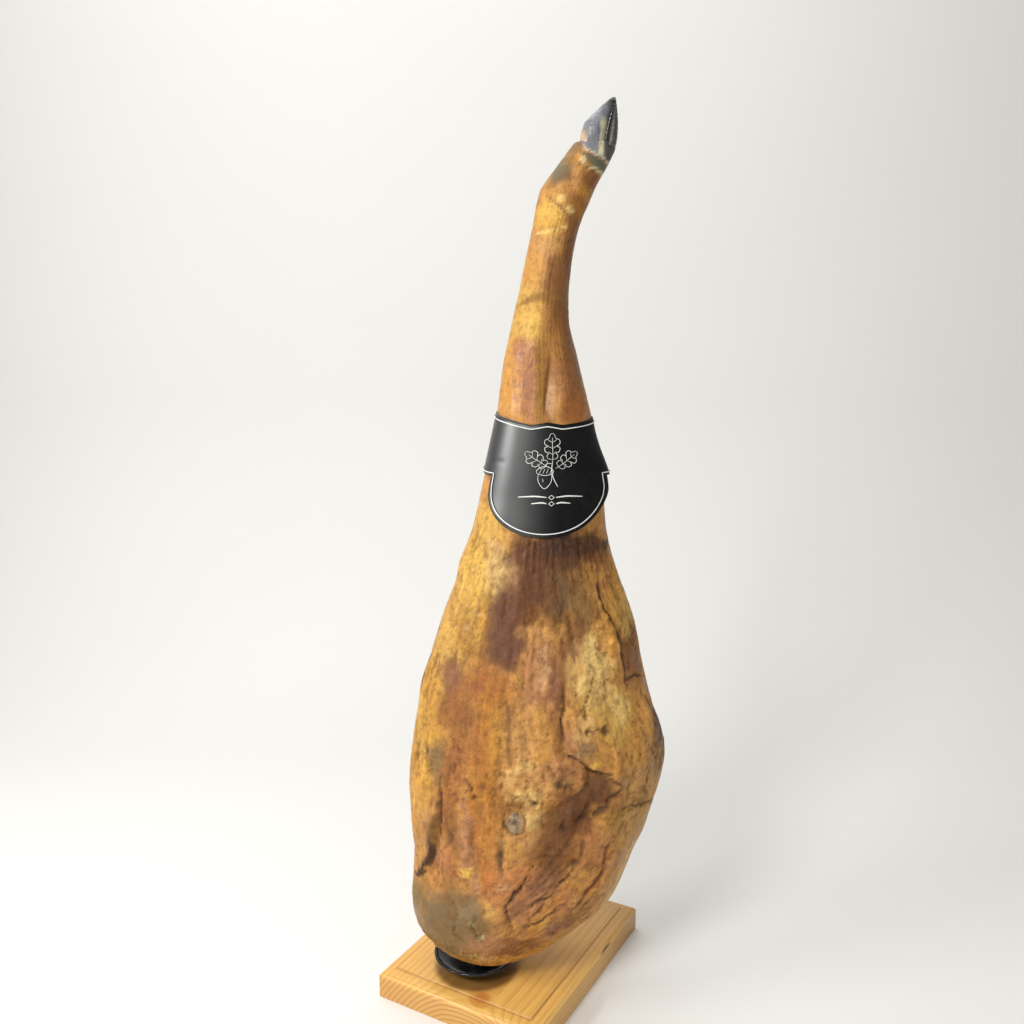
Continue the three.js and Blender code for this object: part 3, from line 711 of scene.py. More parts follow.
# %% Carving tools
def to_line(x, z, points):
    """Distance to a bent line, its sign by side, and the share of the way along it."""
    nearest, side, share = np.full(x.shape, 1e9), np.zeros(x.shape), np.zeros(x.shape)
    parts = len(points) - 1
    for part, ((x0, z0), (x1, z1)) in enumerate(zip(points, points[1:])):
        dx, dz = x1 - x0, z1 - z0
        t = np.clip(((x - x0) * dx + (z - z0) * dz) / (dx * dx + dz * dz), 0, 1)
        off_x, off_z = x - x0 - t * dx, z - z0 - t * dz
        distance = np.hypot(off_x, off_z)
        closer = distance < nearest
        nearest = np.where(closer, distance, nearest)
        side = np.where(closer, np.sign(dx * off_z - dz * off_x), side)
        share = np.where(closer, (part + t) / parts, share)
    return nearest, nearest * side, share


def oval(x, z, centre_x, centre_z, half_x, half_z, lean=0):
    """Distance from a leaning oval's middle: 1 on its edge."""
    c, s = math.cos(math.radians(lean)), math.sin(math.radians(lean))
    dx, dz = x - centre_x, z - centre_z
    return np.hypot((dx * c + dz * s) / half_x, (dz * c - dx * s) / half_z)


def mound(x, z, *shape):
    *where, height = shape
    return height * np.exp(-oval(x, z, *where) ** 2)


def cut(x, z, points, width, depth):
    distance, _, share = to_line(x, z, points)
    taper = np.sin(np.pi * np.clip(share, 0.04, 0.96)) ** 0.35
    return -depth * taper * np.exp(-(distance / width) ** 2)


def ledge(x, z, points, height, reach, width):
    """The left of the line stands up and fades over its reach; the right drops at once."""
    _, signed, share = to_line(x, z, points)
    taper = np.sin(np.pi * np.clip(share, 0, 1)) ** 0.6
    rise = smooth(signed, -width, width) * np.exp(-np.maximum(signed, 0) / reach)
    return height * taper * rise


def grain(points, size, octaves=3, keep=1.0):
    """Rough noise about -1 to 1, its lumps as large as size in each direction."""
    scaled = points / np.asarray(size, float)
    return np.array([noise.fractal(p, keep, 2.0, octaves) for p in scaled.tolist()])


def pocks(points, size):
    """Distance to the nearest of many scattered spots, 0 at the spot."""
    scaled = points / np.asarray(size, float)
    return np.array([noise.voronoi(p)[0][0] for p in scaled.tolist()])


# %% [markdown]
# ## The sheet that becomes the leg
# One grid of faces is rolled into a tube and welded along its seam. Its first rows line the bore
# for the spike, the next spread out under the butt, and the rest climb to the foot. Rows and
# columns crowd where the bared flesh needs detail, and spread on the smooth skin.

# %% Rows and columns
AROUND, UNDER_ROWS, FOOT_ROWS = 216, 7, 4
CROWDING, LIE_WIDTH = 0.32, 190
DETAIL_FROM, CUFF_FROM, CUFF_TO = 80, 458, 580
SPIKE_BORE = 6.6
bore_line = [(0.9, SPIKE_TOP + 0.6), (2.8, SPIKE_TOP - 8), (4.9, shoulder + 17.5),
             (SPIKE_BORE, shoulder), (SPIKE_BORE, 120), (SPIKE_BORE, BUTT + 0.6)]
row_heights = np.concatenate([
    np.linspace(BUTT, DETAIL_FROM, 26, endpoint=False),
    np.linspace(DETAIL_FROM, CUFF_FROM, 236, endpoint=False),
    np.linspace(CUFF_FROM, CUFF_TO, 40, endpoint=False),
    np.linspace(CUFF_TO, ANKLE, 104),
])
ROWS = len(bore_line) + UNDER_ROWS + len(row_heights) + FOOT_ROWS
print("leg grid", AROUND, "by", ROWS)


def rolled_grid(columns, rows):
    """A grid rolled to a tube with its ends closed; the share round and the row of each corner."""
    bm = bmesh.new()
    bmesh.ops.create_grid(bm, x_segments=columns, y_segments=rows - 1, size=0.5)
    wide = max(v.co.x for v in bm.verts)
    tall = max(v.co.y for v in bm.verts)
    for vertex in bm.verts:
        angle = (vertex.co.x / wide + 1) * math.pi
        vertex.co = (math.cos(angle), math.sin(angle), vertex.co.y / tall)
    bmesh.ops.remove_doubles(bm, verts=bm.verts, dist=1e-4)
    open_ends = [e for e in bm.edges if e.is_boundary]
    bmesh.ops.holes_fill(bm, edges=open_ends, sides=0)
    co = np.array([v.co for v in bm.verts])
    share = np.arctan2(co[:, 1], co[:, 0]) / (2 * np.pi) % 1
    row = np.rint((co[:, 2] + 1) / 2 * (rows - 1)).astype(int)
    return bm, share, row


leg_bm, share, row = rolled_grid(AROUND, ROWS)
spun = 2 * np.pi * share
turn = spun - CROWDING * np.cos(spun)
first_outer = len(bore_line) + UNDER_ROWS
outer_row = np.clip(row - first_outer, 0, len(row_heights) - 1)
height = row_heights[outer_row]
base = leg_point(turn, height)
normal = leg_normal(turn, np.clip(height, BUTT + 1, ANKLE - 1))
X, Y, Z = base.T
bared = smooth(-normal[:, 1], -0.15, 0.45)
skinned = 1 - bared
left, right = edge(Z, 1), edge(Z, 2)
lie = np.stack([(X - left) / (right - left) * LIE_WIDTH, Y, Z], -1)

# %% [markdown]
# ## Carving the bared side
# The large forms come first: the thigh muscle's rounded mass, the hollow beside the hip, the
# ridge over it, the folded left flank. Ledges follow where one muscle lies over the next.

# %% Large forms
form = np.zeros(len(X))
# across, up, half width, half height, lean in degrees, how far it stands out
for shape in (
    (20, 385, 30, 60, 0, 1.5), (100, 330, 14, 60, -8, 3.0), (130, 375, 12, 60, -14, 2.5),
    (60, 258, 40, 22, 8, 4.5), (51, 208, 9, 10, 0, 4.2), (150, 270, 26, 40, 0, 4.0),
    (110, 290, 22, 24, 0, 2.5),
    (86, 200, 32, 36, 10, -11.0), (108, 214, 12, 22, -25, -5.0), (37, 212, 15, 15, 0, -1.5),
    (30, 150, 26, 18, 30, 2.5), (60, 120, 40, 26, 35, 1.8), (-20, 105, 34, 26, 0, 2.2),
    (-6, 170, 7, 50, 0, 2.4), (-22, 190, 8, 50, 0, 2.0), (-34, 250, 8, 34, 0, 2.2),
    (-43, 165, 9, 26, -12, -6.0), (10, 300, 22, 30, 0, 1.4), (-24, 325, 14, 26, 0, -1.2),
    (35, 375, 16, 40, 12, -2.2), (60, 400, 26, 26, 0, -1.0), (120, 300, 12, 16, 0, 2.0),
    (67, 590, 7, 34, 8, -2.2), (80, 585, 8, 34, 0, 1.2), (46, 612, 12, 30, 0, 1.0),
    (72, 742, 12, 14, 0, 1.0), (84, 745, 5, 7, 0, 1.4), (78, 752, 4, 3, 0, 1.2),
    (104, 786, 16, 5, -12, 1.6), (95, 770, 8, 10, 0, -0.8),
):
    form += mound(X, Z, *shape)
form += ledge(X, Z, ((81, 276), (92, 268), (104, 259), (120, 251), (135, 233)), 7.5, 26, 1.4)
form += ledge(X, Z, ((46, 205), (63, 217), (74, 223), (89, 232), (98, 242), (106, 253)), 4.5, 18, 2.2)
form += ledge(X, Z, ((127, 231), (117, 214), (110, 200), (103, 188), (94, 168), (84, 156)), 6.0, 22, 2.0)
form += ledge(X, Z, ((-56, 126), (-42, 155), (-37, 178), (-34, 200), (-29, 225)), 8.0, 12, 1.2)
form += ledge(X, Z, ((138, 332), (133, 357), (128, 373), (120, 393), (112, 410), (112, 431)), 3.6, 14, 1.5)
print("large forms", round(float(form.min()), 1), "to", round(float(form.max()), 1), "mm")

# %% [markdown]
# ## Cuts and cracks
# The knife and the drying have opened the surface between the muscles. Each crack is a bent
# line, and a slow noise makes it wander. A few deep pits are added where cracks meet.

# %% Cuts and cracks
# half width, depth, bent line
CRACKS = (
    (1.5, 3.2, ((112, 431), (112, 410), (120, 393), (128, 373), (133, 357), (138, 330))),
    (1.3, 3.0, ((138, 331), (147, 332), (157, 328))),
    (1.2, 3.4, ((82, 330), (80, 311), (80, 291), (80, 270))),
    (1.2, 2.4, ((108, 341), (105, 326), (100, 314), (98, 300))),
    (1.4, 2.2, ((98, 300), (106, 290), (117, 291), (122, 284))),
    (1.5, 3.4, ((78, 276), (92, 268), (104, 259), (120, 251), (135, 234))),
    (1.8, 3.0, ((135, 234), (125, 227), (117, 213), (109, 200))),
    (1.5, 2.4, ((109, 200), (103, 186), (95, 168), (88, 160))),
    (1.2, 2.4, ((125, 214), (145, 215), (164, 211), (176, 203))),
    (1.3, 2.6, ((128, 189), (121, 175), (119, 158), (114, 146), (105, 136), (96, 122), (83, 110))),
    (1.0, 1.5, ((118, 141), (104, 121), (88, 102), (69, 90), (50, 78))),
    (1.4, 3.4, ((54, 168), (43, 149), (36, 139), (29, 126), (34, 108))),
    (1.3, 3.0, ((92, 164), (82, 152), (73, 144))),
    (1.2, 2.6, ((79, 143), (67, 136), (56, 131), (49, 122))),
    (1.3, 3.0, ((80, 127), (67, 117), (56, 108), (44, 106))),
    (1.0, 2.2, ((65, 134), (59, 121), (53, 115))),
    (1.2, 2.8, ((-43, 272), (-42, 256), (-40, 236))),
    (1.4, 3.2, ((-28, 244), (-29, 225), (-29, 208), (-30, 184))),
    (1.2, 2.6, ((-14, 278), (-13, 262), (-19, 244))),
    (1.0, 2.0, ((-21, 264), (-22, 230))),
    (1.4, 3.0, ((-3, 245), (1, 232), (3, 224))),
    (1.6, 2.6, ((28, 222), (26, 213), (28, 205), (34, 201), (43, 203))),
    (1.3, 1.8, ((28, 222), (35, 225), (44, 224))),
    (2.2, 2.2, ((24, 192), (25, 174), (27, 162))),
    (0.9, 1.6, ((51, 174), (66, 175), (92, 172))),
    (0.9, 1.3, ((55, 183), (70, 181), (86, 178))),
    (1.2, 2.6, ((69, 93), (74, 96), (79, 90))),
    (1.0, 1.6, ((40, 336), (40, 312))),
    (1.1, 2.2, ((4, 118), (-2, 104), (6, 92), (12, 84))),
    (1.1, 1.9, ((-20, 128), (-14, 112), (-18, 96), (-6, 84))),
    (1.2, 1.8, ((-24, 208), (-19, 189), (-24, 170))),
    (1.6, 1.6, ((70, 618), (66, 596), (64, 580), (64, 566))),
    (0.8, 0.9, ((64, 754), (73, 748), (80, 741), (84, 736))),
    (0.9, 1.0, ((52, 723), (63, 724), (73, 725), (83, 727))),
    (1.0, 1.8, ((94, 779), (102, 777), (110, 774), (117, 774))),
    (1.0, 1.6, ((92, 789), (99, 792), (108, 790), (119, 787))),
    (1.2, 2.2, ((160, 250), (156, 232), (160, 216))),
    (1.0, 1.7, ((60, 212), (63, 204), (60, 198))),
)
wander = grain(base, (9, 9, 14), 3)
drift = grain(base + 400, (9, 9, 14), 3)
steady = 1 - 0.88 * smooth(Z, 460, 600)
wander_x, wander_z = X + 2.6 * steady * wander, Z + 3.2 * steady * drift
cracked = np.zeros(len(X))
for width, depth, points in CRACKS:
    cracked = np.minimum(cracked, cut(wander_x, wander_z, points, width, depth))
# across, up, half width, depth
for x, z, size, depth in (
    (2, 232, 2.6, 4.0), (55, 228, 2.2, 4.5), (40, 233, 2.0, 2.2), (77, 246, 5.0, 3.0),
    (84, 242, 3.0, 2.6), (115, 290, 3.2, 3.4), (101, 293, 2.6, 3.0), (82, 200, 3.2, 2.4),
    (-9, 397, 2.0, 1.8), (-6, 385, 1.8, 1.8), (13, 444, 3.4, 1.8), (13, 431, 2.0, 1.6),
    (24, 458, 4.0, 1.5), (-14, 381, 1.8, 1.6), (-11, 302, 2.0, 1.6), (100, 205, 4.0, 2.0),
):
    pit = -depth * np.exp(-oval(wander_x, wander_z, x, z, size, size * 1.3) ** 2)
    cracked = np.minimum(cracked, pit)
print("deepest crack", round(float(cracked.min()), 1), "mm")

# %% [markdown]
# ## Fibres, crust and pores
# Dried muscle splits along its fibres. The noise that draws them is stretched along the leg, and
# in the lower meat it is stretched along a leaning direction instead. Fat is pocked, and the
# skin on the far side is smooth with long shallow creases.

# %% Fine relief
FIBRE_LEAN = math.radians(52)
SKIN_EDGE = ((178, 230), (146, 168), (130, 118), (108, 74), (75, 48), (44, 42))
leaning = 1 - smooth(oval(X, Z, 66, 135, 78, 62, 30), 0.75, 1.25)
c, s = math.cos(FIBRE_LEAN), math.sin(FIBRE_LEAN)
leaned = np.stack([lie[:, 0] * s - Z * c, Y, lie[:, 0] * c + Z * s], -1)
upright_fibre = grain(lie, (4.0, 9, 26), 4, 0.8)
leaning_fibre = grain(leaned, (4.2, 9, 30), 4, 0.8)
fibre = upright_fibre * (1 - leaning) + leaning_fibre * leaning
fold = grain(lie + 90, (10, 20, 90), 2) * (1 - leaning) + grain(leaned, (13, 20, 70), 2) * leaning
lump = grain(base + 250, (7, 7, 8), 4, 0.7)
split = np.exp(-(grain(lie + 700, (7, 14, 32), 3) / 0.055) ** 2) * (1 - leaning)
split += np.exp(-(grain(leaned + 700, (9, 14, 34), 3) / 0.06) ** 2) * leaning
pock = 1 - smooth(pocks(base + 30, (5.5, 5.5, 7.5)), 0.12, 0.42)
soft_shank = smooth(Z, 470, 560)
smooth_fat = 1 - smooth(oval(X, Z, -14, 108, 50, 40), 0.6, 1.15)
skin_rim = 1 - smooth(to_line(X, Z, SKIN_EDGE)[0], 7, 14)
crust = 1 - smooth(oval(X, Z, 56, 246, 46, 26, 8), 0.7, 1.3)
crust = np.maximum(crust, (1 - smooth(oval(X, Z, 58, 384, 26, 14), 0.6, 1.3)) * 0.9)
crust = np.maximum(crust, (1 - smooth(oval(X, Z, 118, 372, 14, 34), 0.6, 1.3)) * 0.7)
rough_share = bared * (1 - 0.8 * soft_shank) * (1 - 0.65 * smooth_fat) * (1 - 0.85 * skin_rim)
fine = rough_share * (
    0.85 * fibre + 1.2 * fold + 0.95 * lump * (0.5 + crust) - 1.15 * split - 0.55 * pock * (0.4 + crust)
)
creases = -np.exp(-(grain(base + 60, (60, 60, 22), 2) / 0.05) ** 2)
fine += skinned * (0.30 * grain(base + 5, (16, 16, 24), 4) + 0.35 * creases)
fine += soft_shank * 0.35 * grain(base + 20, (9, 9, 16), 3)
print("fine relief", round(float(fine.min()), 1), "to", round(float(fine.max()), 1), "mm")

# %% [markdown]
# ## Placing the surface
# Form, cracks and fine relief add up to one distance along the normal. Under the card cuff the
# surface may hardly rise, and round the foot it is calmer, so that cuff and claws still fit.

# %% Leg mesh
relief = form * bared + cracked * bared + fine
under_card = smooth(Z, 455, 464) * (1 - smooth(Z, 568, 578))
relief = relief * (1 - under_card) + np.clip(relief * 0.4, -1.2, 0.15) * under_card
relief *= smooth(Z, BUTT, BUTT + 16) * (1 - 0.6 * smooth(Z, 784, 794))
surface = base + normal * relief[:, None]

for index, (radius, z) in enumerate(bore_line):
    ring = row == index
    surface[ring] = np.stack([radius * np.cos(turn[ring]), radius * np.sin(turn[ring]),
                              np.full(ring.sum(), z)], -1)
for step in range(UNDER_ROWS):
    ring = row == len(bore_line) + step
    spread = (step + 0.5) / (UNDER_ROWS + 0.5)
    bore_edge = SPIKE_BORE * np.stack([np.cos(turn[ring]), np.sin(turn[ring])], -1)
    outer = leg_point(turn[ring], np.full(ring.sum(), BUTT))[:, :2]
    flat = bore_edge * (1 - spread) + outer * spread
    surface[ring] = np.column_stack([flat, np.full(ring.sum(), BUTT + 0.3 * (1 - spread))])
foot_centre = surface[row == first_outer + len(row_heights) - 1].mean(0)
for step in range(FOOT_ROWS):
    ring = row == ROWS - FOOT_ROWS + step
    shrink = 1 - (step + 1) / (FOOT_ROWS + 0.5)
    rim_points = leg_point(turn[ring], np.full(ring.sum(), ANKLE))
    surface[ring] = foot_centre + (rim_points - foot_centre) * shrink
    surface[ring, 2] = ANKLE + 1.5 * (1 - shrink ** 2)

set_corners(leg_bm, to_frame(surface))
leg = finish_mesh("cured_leg", leg_bm, sharp=180)
print("leg", len(leg.data.vertices), "corners")

# %% [markdown]
# ## Pigments
# No two hand-widths of a cured leg have the same colour. Fat yellows, lean darkens to mauve and
# brown, the rind is amber, and mould leaves grey bloom at the butt. Each pigment gets a name
# here, and patches of it are laid on like washes, one over another, with wandering edges. Some
# washes paint shade and light instead: the shadow of the card cuff, shade in the hollow beside
# the hip and in the fold on the left flank, and one small highlight.

# %% Pigments
PIGMENTS = {
    "tan": (200, 148, 86), "gold": (217, 176, 98), "yellow": (234, 192, 98),
    "deep_gold": (208, 158, 72), "pale_fat": (228, 194, 138), "cream": (243, 212, 150),
    "mauve": (112, 72, 58), "plum": (146, 100, 84), "umber": (102, 63, 31),
    "bark": (142, 94, 50), "olive": (132, 102, 60), "moss": (166, 124, 54),
    "crust": (208, 160, 106), "pink": (186, 132, 98), "blush": (216, 174, 140),
    "rust": (168, 106, 56), "ember": (176, 104, 58), "amber": (190, 130, 56),
    "orange": (208, 146, 72), "lilac": (188, 138, 108), "slate": (122, 102, 76),
    "bloom": (127, 104, 64), "haze": (148, 128, 100), "horn_skin": (98, 108, 98),
    "chalk": (218, 214, 190), "pit": (64, 37, 18), "meat": (200, 136, 88),
    "rind": (196, 154, 96), "honey": (214, 160, 88),
    "hoof_grey": (118, 120, 126), "hoof_dark": (76, 75, 64), "hoof_pale": (206, 202, 168),
}
# pigment, across, up, half width, half height, lean in degrees, strength
# Some washes paint shade and light: those in a band just below the card's foot are painted shadow of the
# cuff, those round the hollow beside the hip are painted shade, and the narrow blush at 64 across, 352 up
# is a painted highlight.
WASHES = (
    ("gold", 2, 415, 26, 52, 8, 1.0), ("gold", -22, 345, 20, 66, 12, 0.9),
    ("yellow", 8, 436, 18, 26, 0, 0.7), ("deep_gold", -44, 300, 16, 66, 6, 0.95),
    ("deep_gold", -52, 232, 13, 54, 0, 0.9), ("yellow", -50, 285, 5, 50, 6, 0.6),
    ("gold", 12, 470, 24, 22, 0, 1.0), ("pale_fat", 28, 424, 15, 32, 15, 0.95),
    ("deep_gold", 10, 374, 7, 34, 0, 0.8), ("bark", 14, 362, 8, 22, 0, 0.75),
    ("mauve", 37, 391, 14, 32, 12, 0.95), ("mauve", 31, 364, 17, 20, 0, 0.95),
    # the umber and pit washes below the card's foot, on this line and the next two, are painted shadow of
    # the cuff
    ("plum", 48, 424, 15, 20, 0, 0.85), ("umber", 78, 448, 44, 12, 0, 0.95),
    ("pit", 72, 458, 34, 7, 0, 0.8), ("umber", 56, 432, 15, 24, 0, 0.85),
    ("umber", 50, 404, 12, 22, 8, 0.75), ("pit", 60, 440, 10, 14, 0, 0.5),
    ("mauve", 25, 386, 12, 26, 10, 0.7), ("moss", -4, 372, 9, 26, 8, 0.55),
    ("bark", -16, 314, 15, 32, 4, 0.8), ("bark", -4, 296, 14, 18, 0, 0.6),
    ("umber", 170, 274, 10, 40, 4, 0.85), ("umber", 136, 356, 6, 30, 14, 0.6),
    # the bark wash at 112 across, 448 up is painted shadow of the cuff
    ("bark", 112, 448, 10, 22, 0, 0.6), ("umber", 64, 424, 8, 20, 0, 0.6),
    ("olive", 74, 412, 13, 30, 0, 0.9), ("olive", 93, 402, 15, 32, 0, 0.85),
    ("slate", 78, 408, 6, 26, 0, 0.5), ("bark", 88, 374, 14, 18, 0, 0.7),
    ("crust", 60, 378, 19, 8, 0, 0.7), ("bark", 53, 393, 9, 9, 0, 0.7),
    ("amber", 54, 400, 5, 6, 0, 0.5), ("pink", 60, 345, 13, 26, 0, 0.85),
    # the narrow blush at 64 across, 352 up is a painted highlight
    ("blush", 64, 352, 4, 18, 0, 0.8), ("pink", 55, 322, 13, 13, 0, 0.8),
    ("blush", 62, 332, 5, 6, 0, 0.6), ("plum", 74, 334, 6, 30, 0, 0.85),
    ("bark", 82, 350, 7, 26, 0, 0.6), ("pale_fat", 92, 345, 9, 22, 0, 0.5),
    ("cream", 106, 358, 6, 20, 10, 1.0), ("cream", 100, 332, 6, 10, 0, 0.9),
    ("honey", 117, 374, 11, 28, 8, 0.85), ("pale_fat", 117, 345, 9, 9, 0, 0.6),
    ("yellow", 138, 388, 6, 18, 10, 1.0), ("deep_gold", 132, 402, 6, 20, 12, 0.7),
    ("bark", 146, 352, 9, 26, 10, 0.85), ("plum", 143, 344, 7, 12, 0, 0.5),
    ("gold", 112, 312, 20, 22, 0, 0.9), ("cream", 118, 325, 10, 6, 0, 0.8),
    ("orange", 121, 304, 10, 11, 0, 0.8), ("honey", 146, 290, 20, 34, 0, 0.85),
    ("pale_fat", 96, 292, 8, 16, 0, 0.6), ("umber", 174, 266, 10, 34, 4, 0.75),
    ("rust", 12, 328, 24, 18, 0, 0.85), ("ember", 6, 332, 7, 4, 0, 0.8),
    ("plum", -20, 333, 9, 20, 0, 0.8), ("rust", -16, 306, 12, 20, 0, 0.6),
    ("amber", 22, 317, 15, 17, 0, 0.8), ("amber", 16, 282, 15, 36, 0, 0.85),
    ("deep_gold", 26, 290, 7, 26, 0, 0.6), ("rust", 2, 275, 9, 20, 0, 0.7),
    ("crust", 48, 290, 19, 28, 0, 0.8), ("honey", 62, 285, 12, 22, 0, 0.6),
    ("bark", 74, 296, 5, 26, 0, 0.6), ("pink", 88, 285, 8, 20, 0, 0.6),
    ("amber", 34, 262, 6, 14, 0, 0.5), ("slate", -32, 256, 8, 20, 0, 0.85),
    ("rust", -12, 262, 9, 22, 0, 0.8), ("rust", -22, 225, 10, 34, 0, 0.75),
    ("bark", -20, 200, 8, 24, 0, 0.5), ("amber", 9, 228, 14, 46, 0, 0.95),
    ("rust", 8, 190, 13, 26, 0, 0.8), ("orange", 12, 205, 7, 26, 0, 0.7),
    ("lilac", -5, 202, 4, 36, 0, 0.95), ("lilac", 1, 150, 4, 28, 8, 0.95),
    ("crust", 38, 243, 12, 15, 0, 0.95), ("cream", 36, 250, 7, 6, 0, 0.7),
    ("crust", 62, 250, 28, 13, 5, 0.9), ("cream", 52, 233, 15, 8, 0, 0.7),
    ("pink", 80, 257, 20, 10, 5, 0.8), ("olive", 80, 245, 9, 5, 0, 0.7),
    ("pale_fat", 54, 214, 12, 9, 0, 0.85), ("crust", 48, 196, 22, 8, 0, 0.8),
    ("bark", 84, 204, 22, 32, -8, 0.95), ("umber", 100, 226, 22, 16, 25, 0.85),
    # the umber wash at 66 across, 444 up is painted shadow of the cuff; the one at 92 across, 204 up is
    # painted shade in the hollow
    ("umber", 92, 204, 14, 22, -12, 0.6), ("umber", 66, 444, 42, 12, 0, 0.9),
    ("umber", 52, 412, 14, 24, 0, 0.8), ("mauve", 27, 388, 12, 22, 6, 0.7),
    ("umber", 70, 405, 7, 26, 0, 0.6), ("gold", 136, 392, 8, 18, 8, 0.9),
    ("cream", 108, 350, 10, 26, 4, 0.85), ("gold", 128, 300, 14, 24, 0, 0.9),
    # the umber and pit washes between 82 and 112 across and 199 to 238 up, here and in the next four
    # lines, are painted shade in the hollow beside the hip
    ("umber", 168, 276, 9, 30, 0, 0.85), ("umber", 112, 238, 11, 26, 20, 0.85),
    ("umber", 96, 206, 14, 18, 10, 0.6), ("meat", 86, 218, 10, 10, 0, 0.35),
    ("bark", 76, 176, 24, 20, 0, 0.9), ("umber", 70, 168, 10, 12, 30, 0.4),
    ("umber", 102, 208, 9, 20, 14, 0.85), ("pit", 104, 208, 4, 8, 0, 0.6),
    ("pit", 82, 199, 3, 4, 0, 0.8), ("slate", 25, 176, 4, 17, 0, 0.9),
    ("orange", 14, 172, 8, 24, 0, 0.8), ("yellow", 106, 266, 7, 3.6, -10, 1.0),
    ("haze", 100, 276, 9, 6, 0, 0.7), ("rind", 156, 242, 22, 36, 0, 0.85),
    ("honey", 146, 262, 14, 20, 0, 0.7), ("bark", 150, 214, 22, 5, 4, 0.6),
    ("rind", 146, 196, 20, 24, 0, 0.85), ("moss", 128, 205, 9, 20, 10, 0.7),
    ("meat", 112, 176, 12, 24, 16, 0.6), ("meat", 34, 150, 26, 18, 30, 0.95),
    ("blush", 30, 147, 9, 6, 30, 0.5), ("ember", 14, 160, 7, 14, 0, 0.6),
    ("pink", 52, 132, 20, 13, 45, 0.85), ("plum", 66, 152, 18, 12, 0, 0.7),
    ("meat", 84, 132, 20, 12, 50, 0.85), ("honey", 98, 140, 24, 8, 58, 0.6),
    ("rust", 112, 150, 26, 4, 62, 0.7), ("pink", 56, 92, 28, 14, 25, 0.8),
    ("plum", 78, 100, 14, 9, 35, 0.6), ("orange", 62, 108, 28, 7, 56, 0.95),
    ("yellow", 66, 112, 12, 4, 56, 0.6), ("bark", 30, 112, 8, 16, 0, 0.6),
    ("plum", 40, 128, 10, 10, 0, 0.5), ("yellow", -5, 160, 3.6, 7.5, 0, 1.0),
    ("gold", 17, 126, 5, 7, 0, 1.0), ("rust", -26, 152, 14, 20, 0, 0.85),
    ("orange", -30, 142, 12, 10, 0, 0.7), ("bloom", -46, 106, 20, 26, 0, 0.95),
    ("bloom", -34, 80, 28, 20, 20, 0.95), ("moss", -50, 96, 8, 20, 0, 0.4),
    ("bloom", -6, 76, 26, 16, 10, 0.8), ("bloom", -14, 112, 24, 28, 0, 0.95),
    ("slate", -30, 108, 12, 14, 0, 0.7), ("haze", -4, 122, 11, 13, 0, 0.9),
    ("olive", -8, 133, 9, 5, 0, 0.8), ("moss", -47, 130, 8, 10, 0, 0.7),
    ("bloom", 10, 104, 11, 16, 0, 0.8), ("olive", -22, 94, 16, 8, -30, 0.6),
    ("chalk", 9, 94, 4, 3, 0, 0.8), ("chalk", -4, 104, 5, 3, 20, 0.4), ("pink", 20, 80, 30, 12, 0, 0.8),
    ("rust", 34, 84, 10, 10, 0, 0.6), ("pale_fat", 6, 66, 16, 6, 0, 0.5),
    ("olive", -30, 92, 5, 10, 20, 0.5), ("meat", -26, 168, 9, 18, 0, 0.6),
    ("crust", 40, 260, 22, 12, 0, 0.7), ("cream", 44, 262, 10, 6, 0, 0.6),
    ("gold", 126, 300, 16, 22, 8, 0.9), ("cream", 130, 306, 8, 14, 8, 0.7),
    ("pale_fat", 112, 318, 10, 16, 0, 0.6), ("bark", 42, 82, 20, 10, 10, 0.85),
    ("umber", 30, 76, 10, 6, 0, 0.5), ("gold", 46, 645, 15, 36, -10, 0.95),
    ("yellow", 52, 650, 8, 18, 0, 0.6), ("honey", 34, 596, 11, 36, -8, 0.95),
    ("orange", 40, 585, 8, 20, 0, 0.5), ("pink", 45, 622, 10, 13, 0, 0.9),
    ("ember", 42, 630, 6, 6, 0, 0.4), ("pink", 49, 603, 8, 18, 0, 0.85),
    ("pink", 53, 578, 9, 20, 0, 0.9), ("plum", 48, 590, 5, 16, 0, 0.4),
    ("moss", 61, 612, 6, 34, -3, 0.9), ("moss", 60, 576, 5, 18, 0, 0.8),
    ("bark", 68, 592, 5, 34, 0, 0.9), ("pink", 80, 606, 9, 34, 6, 0.7),
    ("blush", 70, 582, 3.6, 18, 0, 0.9), ("bark", 90, 598, 9, 34, 6, 0.8),
    ("rust", 90, 574, 12, 16, 0, 0.9), ("bark", 80, 645, 15, 38, 0, 0.9),
    ("honey", 74, 628, 5, 16, 0, 0.4), ("gold", 50, 672, 13, 18, 0, 0.9),
    ("bark", 74, 684, 14, 28, 0, 0.85), ("honey", 54, 694, 11, 20, 0, 0.9),
    ("crust", 66, 714, 13, 9, 0, 0.9), ("yellow", 69, 737, 13, 15, 0, 0.95),
    ("deep_gold", 66, 730, 9, 6, 0, 0.5), ("bark", 92, 732, 8, 26, -12, 0.85),
    ("umber", 86, 706, 6, 18, 0, 0.6), ("amber", 96, 748, 7, 14, -14, 0.6),
    ("bark", 104, 758, 7, 14, -24, 0.8), ("slate", 78, 776, 10, 17, -20, 0.9),
    ("honey", 76, 758, 9, 7, 0, 0.6), ("cream", 78, 752, 4, 3, 0, 0.9),
    ("cream", 85, 742, 4, 3.4, 0, 0.95), ("crust", 90, 767, 4, 11, 0, 0.7),
    ("bark", 104, 768, 10, 8, -20, 0.95), ("deep_gold", 100, 756, 8, 6, 0, 0.6),
    ("olive", 88, 796, 8, 7, 0, 0.85), ("horn_skin", 78, 782, 7, 16, -20, 0.5),
    # the pit and umber washes at 428 to 448 up, ending this table, are painted shadow of the cuff
    ("moss", 84, 786, 6, 8, 0, 0.5), ("chalk", 96, 784, 3, 3, 0, 0.8), ("pit", 84, 448, 30, 13, 0, 0.6),
    ("umber", 82, 428, 22, 18, 0, 0.5), ("umber", 52, 416, 12, 24, 0, 0.5),
)
